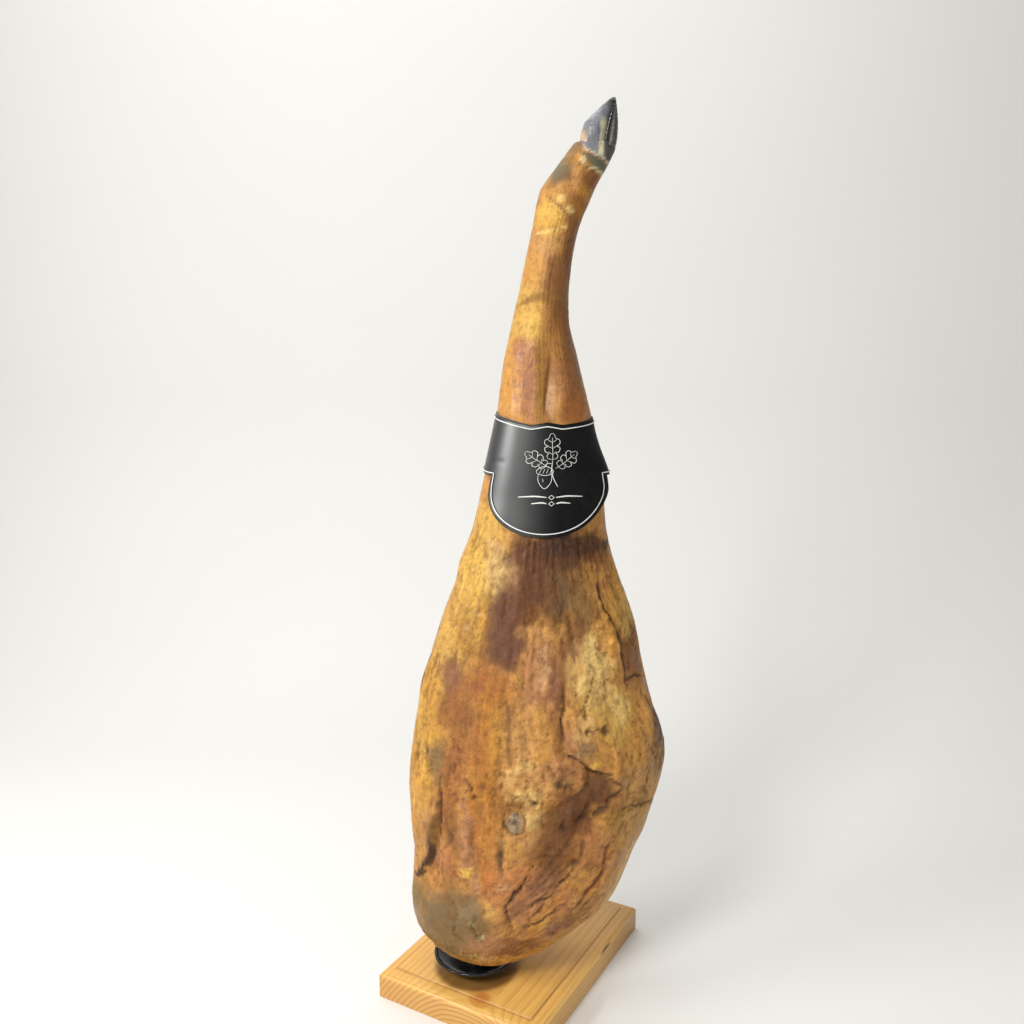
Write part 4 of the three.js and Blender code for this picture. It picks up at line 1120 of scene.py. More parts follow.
# pigment, half width, strength, bent line
STREAKS = (
    # the pit streak along the card's foot is painted shadow of the cuff
    ("pit", 9, 0.75, ((58, 456), (80, 457), (100, 456), (120, 451))),
    # painted shade in the fold on the left flank
    ("umber", 5, 0.6, ((-33, 208), (-37, 186), (-41, 164), (-50, 140))),
    ("rind", 11, 0.9, ((182, 236), (150, 168), (133, 118), (110, 74), (76, 48), (44, 42))),
    ("pale_fat", 4, 0.6, ((150, 172), (131, 122), (110, 80), (78, 54))),
    ("rust", 2.6, 0.8, ((128, 189), (121, 175), (119, 158), (114, 146), (105, 136), (96, 122))),
    # painted shade in the fold on the left flank, here and in the next two lines
    ("pit", 3.0, 0.95, ((-34, 204), (-37, 186), (-40, 168), (-46, 150), (-54, 132))),
    ("umber", 2.4, 0.8, ((-29, 226), (-30, 205), (-31, 184))),
    ("moss", 3.4, 0.7, ((-35, 206), (-34, 190), (-36, 170))),
    ("umber", 3.6, 0.6, ((44, 664), (56, 669), (68, 670), (88, 667))),
    ("moss", 3.0, 0.6, ((36, 660), (52, 668), (68, 670), (88, 667))),
    ("cream", 1.3, 0.9, ((50, 722), (63, 724), (73, 726), (84, 729))),
    ("horn_skin", 4.4, 1.0, ((97, 789), (104, 784), (112, 780), (124, 775))),
    ("chalk", 1.3, 0.9, ((95, 779), (104, 778), (114, 774), (119, 771))),
    ("cream", 1.2, 0.6, ((66, 754), (74, 748), (82, 742))),
    ("umber", 1.4, 0.6, ((64, 755), (72, 749), (80, 742), (86, 736))),
    ("moss", 2.6, 0.6, ((84, 792), (88, 784), (96, 779))),
    ("deep_gold", 3.0, 0.5, ((18, 310), (20, 280), (22, 255))),
    ("umber", 2.2, 0.55, ((30, 320), (33, 290), (34, 262))),
)


def lay(flesh, pigment, amount):
    colour = np.array(srgb(*PIGMENTS[pigment]))
    return flesh + (colour - flesh) * np.clip(amount, 0, 1)[:, None]


loose = 1 - 0.9 * smooth(Z, 460, 600)
soft_x = X + loose * 5.0 * grain(base + 11, (16, 16, 20), 4, 0.6)
soft_z = Z + loose * 8.0 * grain(base + 77, (16, 16, 20), 4, 0.6)
mottle = grain(base + 140, (22, 22, 34), 4, 0.6)
speckle = grain(base + 170, (4, 4, 6), 3, 0.6)
flesh = np.tile(np.array(srgb(*PIGMENTS["tan"])), (len(X), 1))
flesh = lay(flesh, "honey", smooth(mottle, -0.1, 0.4) * 0.7)
flesh = lay(flesh, "bark", smooth(-mottle, 0.1, 0.5) * 0.5)
for pigment, x, z, half_x, half_z, lean, strength in WASHES:
    reach = oval(soft_x, soft_z, x, z, half_x, half_z, lean)
    flesh = lay(flesh, pigment, strength * (1 - smooth(reach, 0.5, 1.4)))
for pigment, half, strength, points in STREAKS:
    away, _, along = to_line(wander_x, wander_z, points)
    half = half * np.sin(np.pi * np.clip(along, 0.08, 0.92)) ** 0.6
    flesh = lay(flesh, pigment, strength * (1 - smooth(away / half, 0.5, 1.5)))
print("washes", len(WASHES), "streaks", len(STREAKS))

# %% [markdown]
# ## The rind, and painted shade in the cracks
# The far side is skin: amber, with darker brown blotches and a little pale bloom. On the bared
# side every crack and fibre hollow is painted darker as shade, and the high fibres lighter as a
# painted highlight.

# %% Rind and valleys
rind = np.tile(np.array(srgb(*PIGMENTS["amber"])), (len(X), 1))
rind = lay(rind, "bark", smooth(mottle, -0.25, 0.5) * 0.75)
rind = lay(rind, "honey", smooth(grain(base + 310, (30, 30, 55), 3), 0.0, 0.5) * 0.6)
rind = lay(rind, "gold", smooth(Z, 420, 640) * 0.35)
rind = lay(rind, "bloom", (1 - smooth(Z, 70, 170)) * 0.5)
rind = lay(rind, "chalk", smooth(speckle, 0.5, 0.8) * smooth(mottle, 0.1, 0.5) * 0.35)
rind = lay(rind, "umber", np.clip(-creases, 0, 1) * 0.5)
back = smooth(skinned + 0.45 * mottle + 0.2 * speckle, 0.35, 1.05)
flesh = flesh * (1 - back[:, None]) + rind * back[:, None]

# painted shade: every crack and fibre hollow on the bared side darkened
cavity_shade = smooth(-fine, 0.25, 2.2) * bared
flesh = lay(flesh, "umber", cavity_shade * 0.62)
# painted shade in the cracks
flesh = lay(flesh, "pit", smooth(-cracked, 0.5, 2.6) * bared * 0.85)
# painted highlight: the high fibres lightened
crest_highlight = smooth(fine, 0.35, 1.9) * bared
flesh = flesh * (1 + 0.30 * crest_highlight[:, None])
flesh = flesh * (1 + 0.16 * (np.clip(fibre, -1, 1) * rough_share)[:, None])
flesh = lay(flesh, "umber", smooth(speckle, 0.42, 0.7) * bared * 0.35)

HOOF_EDGE = ((86, 812), (93.5, 801), (98.6, 793.3), (110, 787.2), (122, 781.5))
hoof_side = to_line(X + 0.2 * drift, Z + 0.2 * wander, HOOF_EDGE)[1]
flesh *= np.array((0.86, 0.79, 0.58))
for pigment, amount in (
    ("hoof_grey", smooth(hoof_side, -0.7, 0.5)),
    ("hoof_dark", smooth(hoof_side, -0.5, 0.5) * smooth(X, 113.5, 116.5)),
    ("hoof_pale", smooth(hoof_side, 0.2, 1.5) * (1 - smooth(np.abs(X - 111.5), 1.6, 3.0))),
    ("chalk", (1 - smooth(np.abs(hoof_side), 0.5, 1.6)) * smooth(X, 94, 98) * 0.7),
    ("umber", (1 - smooth(np.abs(hoof_side + 0.6), 0.5, 1.8)) * (1 - smooth(X, 93, 99)) * 0.8),
):
    flesh = lay(flesh, pigment, amount * smooth(Z, 776, 781))
wrinkled = (1 - smooth(oval(X, Z, 47, 604, 13, 38, -6), 0.6, 1.2)) * smooth(speckle, -0.05, 0.35)
flesh = lay(flesh, "plum", wrinkled * 0.5)
dry = np.clip(0.35 + 0.5 * crust + 0.25 * mottle - 0.3 * smooth_fat, 0, 1)


FIELDS = {"FLOAT": "value", "FLOAT_VECTOR": "vector", "FLOAT_COLOR": "color"}


def give(obj, name, kind, values):
    layer = obj.data.attributes.new(name, kind, "POINT")
    layer.data.foreach_set(FIELDS[kind], np.ascontiguousarray(values, dtype=np.float32).ravel())


def give_colour(obj, name, colours):
    give(obj, name, "FLOAT_COLOR", np.column_stack([colours, np.ones(len(colours))]))


give_colour(leg, "flesh", np.clip(flesh, 0, 1))
give(leg, "lie", "FLOAT_VECTOR", lie)
give(leg, "dry", "FLOAT", dry)
fibrous = rough_share * (0.45 + 0.55 * smooth(X, -45, -10))
give(leg, "fibrous", "FLOAT", fibrous)

# %% [markdown]
# ## The meat's finish
# The painted colour carries the patches, and the shader adds what is finer than the mesh: hair
# thin fibres that follow the leg, pores, and an oily film that is broken where the crust is dry.

# %% Meat finish
STRAND_PITCH = (0.5, 0.3, 0.11)
meat = Finish("Cured_meat", Coat_Roughness=0.25, Specular_IOR_Level=0.3)
painted = meat.attribute("flesh", out="Color")
lain = meat.attribute("lie", out="Vector")
dryness = meat.attribute("dry")
fibrousness = meat.attribute("fibrous")
strands = meat.noise(meat.vector("MULTIPLY", lain, STRAND_PITCH), 1.0, detail=5, roughness=0.62)
blotches = meat.noise(meat.place, 150, detail=5, roughness=0.6)
pores = meat.noise(meat.place, 520, detail=5, roughness=0.65)
patchy = meat.noise(meat.place, 45, detail=3)
tone = meat.mix(strands.between(0.3, 0.62), (0.66, 0.60, 0.54), (1.0, 1.0, 1.0))
colour = meat.mix(fibrousness * 0.45, painted, tone, "MULTIPLY")
colour = meat.mix((1 - blotches.between(0.34, 0.5)) * 0.4, colour, srgb(120, 68, 30))
colour = meat.mix(blotches.between(0.54, 0.7) * 0.6, colour, (1.4, 1.3, 1.15), "MULTIPLY")
colour = meat.mix(pores.between(0.56, 0.76) * 0.5, colour, (1.35, 1.3, 1.2), "MULTIPLY")
colour = meat.mix((1 - pores.between(0.29, 0.44)) * 0.6, colour, srgb(92, 52, 24))
meat.feed(
    Base_Color=colour,
    Roughness=0.34 + dryness * 0.28 + pores.between(0.4, 0.7) * 0.14,
    Coat_Weight=(1 - dryness) * patchy.between(0.35, 0.65) * 0.3,
)
meat.bump(strands * fibrousness * 0.4 + pores, 0.0018, 0.65)
dress(leg, meat, "ham", "cured_ham", "ham_body")

# %% [markdown]
# ## Bones
# The bones are whole inside the meat, as in a real leg, and only the end of the hip bone shows:
# a worn grey knob in the bared side, ringed by a dark gap where the flesh has shrunk from it.
# The knob is a rolled grid drawn out along the bone's own line. The hidden bones stay as the
# frame's solids.

# %% Bones
def rolled_piece(name, columns, rows, point, sharp=180):
    """A closed tube: point(turn, along) gives millimetres in the turned set."""
    bm, share, row = rolled_grid(columns, rows)
    along = row / (rows - 1)
    set_corners(bm, to_frame(point(2 * np.pi * share, along)))
    return finish_mesh(name, bm, sharp), along


def drawn_along(start, end, radii, flatten=1.0, rough=0.0):
    """Rings of these radii along a line; rough adds lumps."""
    start, end = np.array(start, float), np.array(end, float)
    axis = (end - start) / np.linalg.norm(end - start)
    side = np.cross(axis, (0, 0, 1))
    side /= np.linalg.norm(side)
    up = np.cross(side, axis)
    shares, sizes = zip(*radii)

    def point(turn, along):
        size = np.interp(along, shares, sizes)
        at = np.interp(along, shares, np.array(shares))
        ring = (side[None] * np.cos(turn)[:, None] + up[None] * flatten * np.sin(turn)[:, None])
        placed = start + (end - start) * at[:, None] + ring * size[:, None]
        if rough:
            placed = placed + ring * (rough * grain(placed, (5, 5, 5), 4))[:, None]
        return placed

    return point


KNOB_START, KNOB_END = (37.5, -72.6, 211), (50.8, -33, 204.6)
# share of the way along, radius
KNOB_RADII = [(0, 1.2), (0.008, 3.6), (0.025, 6.2), (0.05, 8.0), (0.09, 9.2), (0.16, 9.8),
              (0.3, 8.6), (0.6, 8.6), (0.86, 11.5), (0.95, 9.5), (1, 4)]
knob_shape = drawn_along(KNOB_START, KNOB_END, KNOB_RADII, flatten=1.15, rough=1.7)
hip_knob = rolled_piece("hip_bone_end", 56, 60, knob_shape)[0]

bone = Finish("Weathered_bone", Roughness=0.5)
stain = bone.noise(bone.place, 150, detail=5, roughness=0.6)
pits = bone.cells(bone.place, 900)
grey_bone = bone.mix(stain.between(0.36, 0.66), srgb(84, 66, 46), srgb(158, 132, 96))
knob_across = bone.part(bone.shifted(turn=-HAM_TURN, origin=AXIS), 0)
grey_bone = bone.mix(knob_across.between(0.0385, 0.0450) * 0.75, grey_bone, srgb(178, 138, 90))
grey_bone = bone.mix((1 - pits.between(0.1, 0.35)) * 0.5, grey_bone, srgb(78, 62, 44))
bone.feed(Base_Color=grey_bone, Roughness=0.4 + stain * 0.25)
bone.bump(stain * 0.7 + pits * 0.4, 0.0008, 0.6)
dress(hip_knob, bone, "ham", "bone", "hip_bone")

clean_bone = Finish("Clean_bone", Roughness=0.5)
shade = clean_bone.noise(clean_bone.place, 110, detail=3)
clean_bone.feed(Base_Color=clean_bone.mix(shade, (0.62, 0.55, 0.42), (0.76, 0.71, 0.60)),
                Roughness=0.4 + shade * 0.2)
clean_bone.bump(shade, 0.0004, 0.4)
hidden_bones = [name for name, node in frame["nodes"].items()
                if name in ("femur", "patella", "tibia", "fibula", "calcaneus", "tarsal_bone")
                or name.startswith(("metatarsal", "phalanx"))]
for name in hidden_bones:
    finish_node(name, clean_bone)
print("hidden bones", len(hidden_bones))

# %% [markdown]
# ## The hoof
# A pig's foot ends in two claws with a cleft between them, and two small dewclaws behind. Each
# claw is a rolled grid whose stations narrow to the tip, with growth rings across the horn. The
# near claw is grey-blue and broad, its edge along the cleft is pale, and the far one is dark.

# %% Claws
# height, left edge, right edge, near half depth, far half depth
CLAWS = {
    "claw_left": ((796.6, 95, 115.8, 13, 14), (799, 94, 116, 14, 14.6), (804, 94.4, 116.6, 15.2, 15),
                  (811, 95.6, 117.6, 15.4, 14.4), (817.5, 97.8, 118.9, 14.2, 12.8),
                  (823, 103.4, 120.2, 11.8, 10.4), (829, 109.8, 121.95, 8.8, 7.6),
                  (834, 115.2, 123.2, 6.0, 5.0), (837.4, 119.2, 123.9, 3.8, 3.2),
                  (838.8, 121.2, 124.0, 1.8, 1.6)),
    "claw_right": ((796.6, 116.2, 124.6, 12, 12), (799, 116.4, 125.6, 13, 12.6),
                   (804, 117, 126.4, 13.6, 13), (811, 118, 126.9, 13, 12.2),
                   (817.5, 119.3, 126.9, 11.8, 10.6), (823, 120.6, 126.6, 9.8, 8.4),
                   (829, 122.1, 126, 7.2, 6.2), (834, 123.3, 125.4, 4.8, 4),
                   (837.6, 124, 125, 2.4, 2), (838.9, 124.2, 124.8, 1.0, 0.8)),
}


def claw_shape(stations):
    table = np.array(stations, float)

    def point(turn, along):
        z = table[0, 0] + (table[-1, 0] - table[0, 0]) * along
        left, right, near, far = (np.interp(z, table[:, 0], table[:, k]) for k in (1, 2, 3, 4))
        c, s = np.cos(turn), np.sin(turn)
        rings = 0.16 * np.sin(z * 2.1 + 1.3 * np.sin(z * 0.5)) * smooth(z, 798, 804)
        x = (left + right) / 2 + ((right - left) / 2 + rings) * np.sign(c) * np.abs(c) ** 0.8
        y = np.where(s < 0, near + rings, far + rings) * np.sign(s) * np.abs(s) ** 0.85
        lumps = 0.35 * grain(np.stack([x, y, z], -1), (6, 6, 5), 3)
        return np.stack([x, y + lumps * np.sign(s), z], -1)

    return point


def paint_claw(claw, near_cleft, light):
    x, y, z = to_turned(claw.data).T
    warp = grain(np.stack([x, y, z], -1), (5, 5, 7), 3)
    base = "claw_blue" if light else "claw_dark"
    horn = np.tile(np.array(srgb(*HORN_TONES[base])), (len(x), 1))

    def wash(tone, amount):
        nonlocal horn
        goal = np.array(srgb(*HORN_TONES[tone]))
        horn = horn + (goal - horn) * np.clip(amount, 0, 1)[:, None]

    wash("claw_grey", smooth(warp, -0.1, 0.5) * 0.7)
    wash("claw_dark", smooth(z + 3 * warp, 824, 834) * 0.85)
    if light:
        wash("claw_light", (1 - smooth(oval(x, z, 108, 822, 6, 9, 0) + 0.4 * warp, 0.3, 1.2)) * 0.8)
        wash("claw_violet", (1 - smooth(oval(x, z, 111, 808, 3, 13, 0) + 0.4 * warp, 0.5, 1.1)) * 0.8)
        wash("heel", (1 - smooth(oval(x, z, 94, 803, 6, 9, 0) + 0.3 * warp, 0.6, 1.3)) * 0.9)
    cleft = smooth(-np.abs(x - near_cleft + 2) + 0.6 * warp, -4.2, -2.4) * (1 - smooth(z, 814, 822))
    wash("cleft_pale", cleft * light * 0.95)
    wash("claw_dark", np.full(len(x), 0.9 * (1 - light)))
    give_colour(claw, "horn", horn)


CLEFT = 115.8
HORN_TONES = {
    "claw_blue": (118, 120, 128), "claw_grey": (112, 112, 112), "claw_dark": (62, 61, 52),
    "claw_light": (140, 144, 150), "claw_violet": (88, 86, 112), "heel": (206, 170, 132),
    "cleft_pale": (206, 202, 168),
}
horn = Finish("Horn", Coat_Weight=0.2, Coat_Roughness=0.25)
horn_painted = horn.attribute("horn", out="Color")
streaky = horn.noise(horn.shifted(scale=(700, 700, 90), turn=-HAM_TURN), 1.0, detail=4)
worn_spots = horn.noise(horn.place, 260, detail=4, roughness=0.6)
horn_tone = horn.mix(streaky.between(0.3, 0.7), (0.72, 0.72, 0.72), (1.0, 1.0, 1.0))
horn_colour = horn.mix(1.0, horn_painted, horn_tone, "MULTIPLY")
horn.feed(Base_Color=horn_colour, Roughness=0.25 + worn_spots * 0.35)
horn.bump(streaky * 0.5 + worn_spots * 0.5, 0.0007, 0.5)
for name, stations in CLAWS.items():
    claw = rolled_piece(name.replace("claw", "horn_claw"), 48, 46, claw_shape(stations))[0]
    paint_claw(claw, CLEFT, name == "claw_left")
    dress(claw, horn, "ham", "horn", name)

DEWCLAW_RADII = [(0, 3.2), (0.06, 5.4), (0.22, 6.2), (0.45, 5.6), (0.7, 4.0), (0.88, 2.2),
                 (0.97, 1.1), (1, 0.3)]
for name, x in (("dewclaw_left", 66.6), ("dewclaw_right", 85.9)):
    shape = drawn_along((x, 19, 727), (x + 4.9, 34.3, 755.2), DEWCLAW_RADII, 0.8, 0.35)
    dewclaw, along = rolled_piece("horn_" + name, 32, 30, shape)
    tone_along = smooth(along, 0.2, 0.8)[:, None]
    dew_horn = np.array(srgb(*HORN_TONES["claw_grey"])) * (1 - tone_along)
    dew_horn = dew_horn + np.array(srgb(*HORN_TONES["claw_dark"])) * tone_along
    give_colour(dewclaw, "horn", dew_horn)
    dress(dewclaw, horn, "ham", "horn", name)

# %% [markdown]
# ## The card cuff
# A black card is wrapped round the shank and closed behind with a press stud. Card bends one way
# only, so its walls run straight from its lower to its upper edge, and its free corner springs
# out a little. Its front hangs down in a shield. The sheet is one rolled grid with its edges
# left open, then it is given the card's thickness.

# %% Card cuff
CARD_FOOT, CARD_HEAD = 461.0, 568.0
BAND_FOOT, SHIELD_SIDE, SHIELD_FOOT = 514.0, 504.0, 462.0
SHIELD_LEFT, SHIELD_RIGHT, SHIELD_MIDDLE, SHIELD_HALF = -58.0, 72.0, 66.7, 50.0
CARD_MIDDLE, CARD_REACH = 63.8, 55.5
CARD, CARD_SLACK = 1.0, 4.5


def card_top(angle):
    return np.interp(angle, (-180, -120, -90, -50, -17, -13, 3, 19, 23, 50, 80, 120, 180),
                     (568, 570, 570.6, 565.2, 560.0, 559.9, 562.2, 559.9, 560.1, 562.3, 565, 567, 568))


def card_bottom(angle):
    across = CARD_MIDDLE + CARD_REACH * np.sin(np.radians(angle))
    drop = np.sqrt(np.clip(1 - ((across - SHIELD_MIDDLE) / SHIELD_HALF) ** 2, 0, 1))
    shield = SHIELD_SIDE - (SHIELD_SIDE - SHIELD_FOOT) * drop
    band = BAND_FOOT + 2.5 * np.exp(-((angle + 95) / 22) ** 2)
    inside = (angle > SHIELD_LEFT) & (angle < SHIELD_RIGHT)
    return np.where(inside, shield, band)


def card_point(angle, z, lift=0.0):
    """The card's inner face at an angle from the middle of the bared side, lifted off by lift."""
    turn = np.radians(np.asarray(angle, float) - 90)
    z = np.asarray(z, float) + 0 * turn
    t = (z - CARD_FOOT) / (CARD_HEAD - CARD_FOOT)
    front = smooth(np.cos(np.radians(angle)), -0.3, 0.4)
    grow = 0.8 + 0.7 * front + lift
    grow = grow + 9.0 * np.exp(-((angle - 84) / 33) ** 2) * np.exp(-((z - 508) / 30) ** 2)
    grow = grow + 1.2 * front * smooth(-z, -500, -462)
    grow = grow - 0.5 * np.exp(-((z - 527) / 1.3) ** 2) * smooth(-np.abs(angle + 62), -26, -14)
    low = leg_point(turn, np.full(turn.shape, CARD_FOOT), grow, CARD_SLACK)
    high = leg_point(turn, np.full(turn.shape, CARD_HEAD), grow, CARD_SLACK)
    point = low * (1 - t)[..., None] + high * t[..., None]
    point[..., 2] = z
    return point


shield_ends = [
    end + aside for end in (SHIELD_LEFT, SHIELD_RIGHT) for aside in (-0.4, -0.02, 0.02, 0.4)
]
angles = np.sort(np.concatenate([np.linspace(-180, 180, 160, endpoint=False), shield_ends]))
CARD_ROWS = 34


def card_sheet():
    bm, share, row = rolled_grid(len(angles), CARD_ROWS)
    caps = [face for face in bm.faces if len(face.verts) > 4]
    bmesh.ops.delete(bm, geom=caps, context="FACES_ONLY")
    angle = angles[np.rint(share * len(angles)).astype(int) % len(angles)]
    low, high = card_bottom(angle), card_top(angle)
    z = low + (high - low) * row / (CARD_ROWS - 1)
    set_corners(bm, to_frame(card_point(angle, z)))
    sheet = finish_mesh("card_cuff", bm, sharp=40)
    wall = sheet.modifiers.new("card", "SOLIDIFY")
    wall.thickness, wall.offset = CARD * MM, 1.0
    return sheet


def turned_box(node):
    """A node's lowest and highest corners in the turned set, in millimetres."""
    corners = to_turned(frame["nodes"][node].data)
    return corners.min(0), corners.max(0)


cap_low, cap_high = turned_box("snap_cap")
socket_low, socket_high = turned_box("snap_socket")
stud = (cap_low + cap_high) / 2
STUD_POST = 2.3


def stud_cutter():
    bm = bmesh.new()
    drum = bmesh.ops.create_cone(bm, cap_ends=True, segments=40, radius1=STUD_POST * MM,
                                 radius2=STUD_POST * MM, depth=0.03)["verts"]
    turn = Matrix.Rotation(HAM_TURN, 4, "Z") @ Matrix.Rotation(math.pi / 2, 4, "X")
    bmesh.ops.transform(bm, matrix=Matrix.Translation(place(*stud)) @ turn, verts=drum)
    return finish_mesh("cutter", bm)


card = drilled(card_sheet(), stud_cutter())
card.name = "card_cuff"
print("stud at", [round(v, 1) for v in stud], "post", round(float(cap_high[1] - cap_low[1]), 1))

black_card = Finish("Printed_card", Coat_Roughness=0.4, Coat_IOR=1.8, Specular_IOR_Level=0.08)
paper_fibre = black_card.noise(black_card.place, 1400, detail=3)
scuff = black_card.noise(black_card.place, 60, detail=4, roughness=0.6)
card_across = black_card.part(black_card.shifted(turn=-HAM_TURN, origin=AXIS), 0)
black_card.feed(
    Coat_Weight=1.05 - card_across.between(0.034, 0.078),
    Base_Color=black_card.mix(
        scuff.between(0.4, 0.75), (0.0045, 0.0048, 0.0054), (0.009, 0.0095, 0.0105)
    ),
    Roughness=0.46 + scuff * 0.1 + paper_fibre * 0.06,
)
black_card.bump(paper_fibre * 0.4 + scuff * 0.6, 0.00012, 0.5)
dress(card, black_card, "cuff", "printed_card", "label_cuff")

# %% [markdown]
# ## The print
# A white keyline follows the card's edges, and a line drawing fills the shield: a sprig of oak
# with an acorn, over a plain ornament. Each line is a thin raised strip: an edge is extruded
# from point to point along the line, then laid on the card.

# %% Print on the card
INK_LIFT, INK = 1.06, 0.10
KEYLINE, KEYLINE_INSET, TOP_INSET = 0.95, 2.8, 3.6
SPRIG_ANGLE, SPRIG_UP, DEGREES_PER_MM = 8.0, 520.0, 1.22


def strip(bm, angle, z, width, closed=False):
    """One line of print: its middle in degrees and height, its width in millimetres."""
    path = np.stack([np.asarray(angle) / DEGREES_PER_MM, np.asarray(z)], -1)
    ahead = np.roll(path, -1, 0) if closed else np.vstack([path[1:], path[-1:]])
    behind = np.roll(path, 1, 0) if closed else np.vstack([path[:1], path[:-1]])
    along = ahead - behind
    along /= np.linalg.norm(along, axis=1, keepdims=True)
    across = np.stack([-along[:, 1], along[:, 0]], -1) * np.reshape(width, (-1, 1)) / 2
    sides = []
    for edge_line in (path + across, path - across):
        flat = card_point(edge_line[:, 0] * DEGREES_PER_MM, edge_line[:, 1], INK_LIFT)
        sides.append(to_frame(flat))
    pair = [bm.verts.new(side[0]) for side in sides]
    first = tip = bm.edges.new(pair)
    for step in range(1, len(path)):
        tip, ends = pulled(bm, tip)
        ends.sort(key=lambda v: (v.co - Vector(sides[0][step - 1])).length)
        ends[0].co, ends[1].co = sides[0][step], sides[1][step]
    if closed:
        bmesh.ops.bridge_loops(bm, edges=[tip, first])


def drawn(bm, points, width, smooth_by=6, size=1.04):
    """A line of the drawing, from a few points in millimetres about the sprig's middle."""
    points = np.array(points, float) * size
    fine = np.linspace(0, len(points) - 1, smooth_by * (len(points) - 1) + 1)
    low = np.clip(fine.astype(int), 0, len(points) - 2)
    t = (fine - low)[:, None]
    before, after = points[np.maximum(low - 1, 0)], points[np.minimum(low + 2, len(points) - 1)]
    a, b = points[low], points[low + 1]
    curve = 0.5 * (2 * a + (b - before) * t + (2 * before - 5 * a + 4 * b - after) * t ** 2
                   + (3 * a - before - 3 * b + after) * t ** 3)
    angle = SPRIG_ANGLE + curve[:, 0] * DEGREES_PER_MM
    taper = 0.45 + 0.55 * np.sin(np.pi * np.linspace(0.04, 0.96, len(curve)))
    strip(bm, angle, SPRIG_UP + curve[:, 1], width * taper)


def keyline_path():
    left_in, right_in = SHIELD_LEFT + 5.5, SHIELD_RIGHT - 9
    band_left = np.linspace(-180, left_in, 44)
    sweep_in = np.linspace(left_in, right_in, 66)
    band_right = np.linspace(right_in, 180, 36)
    across, low, high = (CARD_MIDDLE + CARD_REACH * np.sin(np.radians(angle))
                         for angle in (sweep_in, left_in, right_in))
    middle, half = (low + high) / 2, (high - low) / 2
    drop = np.sqrt(np.clip(1 - ((across - middle) / half) ** 2, 0, 1))
    arc = SHIELD_SIDE + 1 - (SHIELD_SIDE + 1 - SHIELD_FOOT - 3.6) * drop
    angle = np.concatenate([band_left, sweep_in, band_right[:-1]])
    foot_left = card_bottom(np.minimum(band_left, SHIELD_LEFT - 1)) + KEYLINE_INSET
    foot_right = card_bottom(np.maximum(band_right, SHIELD_RIGHT + 1))[:-1] + KEYLINE_INSET
    z = np.concatenate([foot_left, arc, foot_right])
    return angle, z


print_bm = bmesh.new()
angle, z = keyline_path()
strip(print_bm, angle, z, KEYLINE, closed=True)
top_angle = np.linspace(-180, 180, 150, endpoint=False)
strip(print_bm, top_angle, card_top(top_angle) - TOP_INSET, KEYLINE, closed=True)

OAK_LEAF = ((0, 0), (3.4, 0.8), (4.2, 3.4), (2.8, 5.0), (5.4, 6.4), (6.0, 9.6), (3.8, 10.8),
            (6.2, 13.0), (5.8, 16.0), (3.0, 17.4), (1.6, 20.6), (0, 21.6))


def leaf(bm, x, z, lean, size):
    c, s = math.cos(math.radians(lean)), math.sin(math.radians(lean))

    def put(points):
        return [(x + size * (px * c - pz * s), z + size * (px * s + pz * c)) for px, pz in points]

    drawn(bm, put(OAK_LEAF), 0.5)
    drawn(bm, put([(-px, pz) for px, pz in OAK_LEAF]), 0.5)
    drawn(bm, put([(0, -3), (0.3, 6), (0, 12), (0.2, 18)]), 0.42)
    for up, reach in ((4, 3.0), (9, 4.2), (14, 4.0)):
        for out in (reach, -reach):
            drawn(bm, put([(0.1, up), (out * 0.5, up + 1.2), (out, up + 2.6)]), 0.34, 3)


leaf(print_bm, -4.5, 4.5, 56, 0.92)
leaf(print_bm, 5, 4, -54, 0.92)
leaf(print_bm, 0.4, 10, 1, 1.0)
drawn(print_bm, [(0.5, 8), (0, 2), (1.0, -5), (4.5, -13)], 0.7)
ACORN = ((-4.6, 0), (-5.0, -4), (-3.6, -8.6), (0, -12.4), (3.6, -8.6), (5.0, -4), (4.6, 0))
drawn(print_bm, [(x - 5, z - 2) for x, z in ACORN], 0.5)
ACORN_CUP = [(-10.6, -2), (-11.2, 0.6), (-8.4, 3.2), (-5, 4.2), (-1.6, 3.2), (1.2, 0.6), (0.6, -2)]
drawn(print_bm, ACORN_CUP, 0.55)
drawn(print_bm, [(-10.6, -2), (-5, -3.4), (0.6, -2)], 0.5)
for k in range(4):
    drawn(print_bm, [(-9.4 + 2.6 * k, -2.3), (-8.4 + 2.6 * k, 0.2), (-7.4 + 2.4 * k, 2.4)], 0.32, 3)
drawn(print_bm, [(-5, 4.2), (-3.6, 6.4), (0.2, 6.6)], 0.6)
drawn(print_bm, [(-6.6, -6), (-6.0, -9)], 0.36, 3)
for up, reach in ((-22.5, 24), (-28, 14)):
    drawn(print_bm, [(-reach, up), (-reach * 0.5, up + 0.9), (-3.4, up)], 1.3, size=1)
    drawn(print_bm, [(3.4, up), (reach * 0.5, up + 0.9), (reach, up)], 1.3, size=1)
    drawn(print_bm, [(-2.1, up), (0, up + 1.9), (2.1, up), (0, up - 1.9), (-2.1, up)], 0.7, 1, size=1)
bmesh.ops.recalc_face_normals(print_bm, faces=print_bm.faces)
ink_lines = finish_mesh("card_print", print_bm, sharp=40)
ink_wall = ink_lines.modifiers.new("ink", "SOLIDIFY")
ink_wall.thickness, ink_wall.offset = INK * MM, 0.0

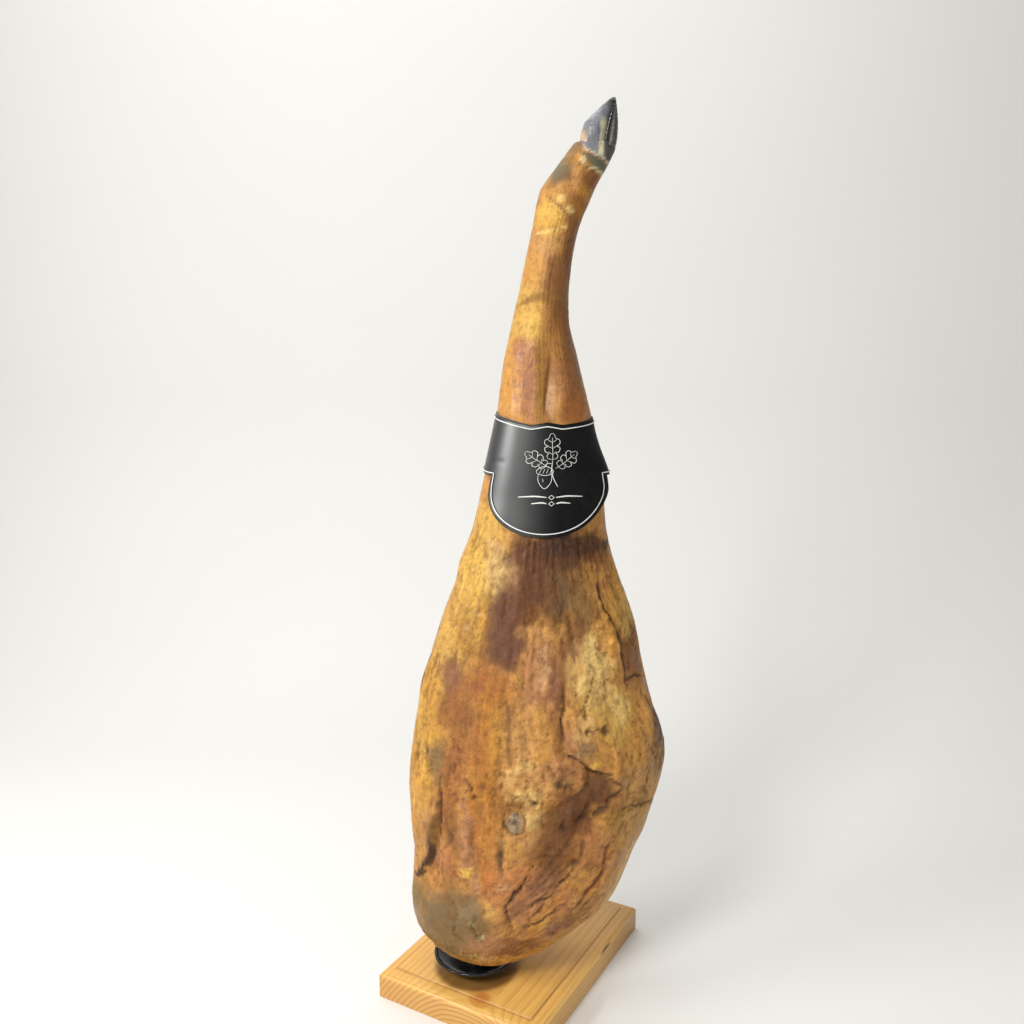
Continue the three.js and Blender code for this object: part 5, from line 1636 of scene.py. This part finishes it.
ink = Finish("White_ink", Roughness=0.5)
ink_cloud = ink.noise(ink.place, 240, detail=4, roughness=0.6)
ink.feed(Base_Color=ink.mix(ink_cloud, (0.62, 0.62, 0.60), (0.86, 0.86, 0.84)),
         Roughness=0.42 + ink_cloud * 0.2)
ink.bump(ink_cloud, 0.00004, 0.3)
dress(ink_lines, ink, "cuff", "printed_card")

# %% [markdown]
# ## The press stud
# Behind the shank a plastic stud holds the card's ends: a domed cap outside with its post
# through the card, and a ringed socket inside. Both are turned outlines laid on their side.

# %% Press stud
# the outline's height runs from the leg outwards
laid = TURNED @ Matrix.Translation((stud[0], 0, stud[2])) @ Matrix.Rotation(-math.pi / 2, 4, "X")
post_in, cap_out, plate = cap_low[1], cap_high[1], 1.6
cap_radius = (cap_high[0] - cap_low[0]) / 2
cap_in = cap_out - plate
cap = turned_piece("stud_cap", [
    (0, post_in), (1.5, post_in), (2.0, post_in + 0.4), (2.0, cap_in), (cap_radius - 0.4, cap_in),
    (cap_radius, cap_in + 0.35), (cap_radius - 0.1, cap_in + 0.75), (cap_radius - 0.8, cap_in + 1.05),
    (cap_radius * 0.7, cap_out - 0.28), (cap_radius * 0.42, cap_out - 0.1), (0, cap_out),
], steps=48, sharp=40, where=laid)
socket_in, socket_out = socket_low[1], socket_high[1]
socket_radius = (socket_high[0] - socket_low[0]) / 2
socket = turned_piece("stud_socket", [
    (0, socket_in), (socket_radius - 0.5, socket_in), (socket_radius, socket_in + 0.4),
    (socket_radius, socket_out - 0.4), (socket_radius - 0.4, socket_out), (2.9, socket_out),
    (2.4, socket_out - 0.3), (2.35, post_in - 0.3), (0, post_in - 0.3),
], steps=48, sharp=40, where=laid)
stud_plastic = Finish("Stud_plastic", Coat_Weight=0.3, Coat_Roughness=0.15)
stud_grain = stud_plastic.noise(stud_plastic.place, 500, detail=2)
stud_plastic.feed(
    Base_Color=stud_plastic.mix(stud_grain, (0.012, 0.012, 0.013), (0.022, 0.022, 0.023)),
    Roughness=0.26 + stud_grain * 0.12,
)
stud_plastic.bump(stud_grain, 0.00003, 0.3)
dress(cap, stud_plastic, "cuff", "snap_plastic", "snap_cap")
dress(socket, stud_plastic, "cuff", "snap_plastic", "snap_socket")
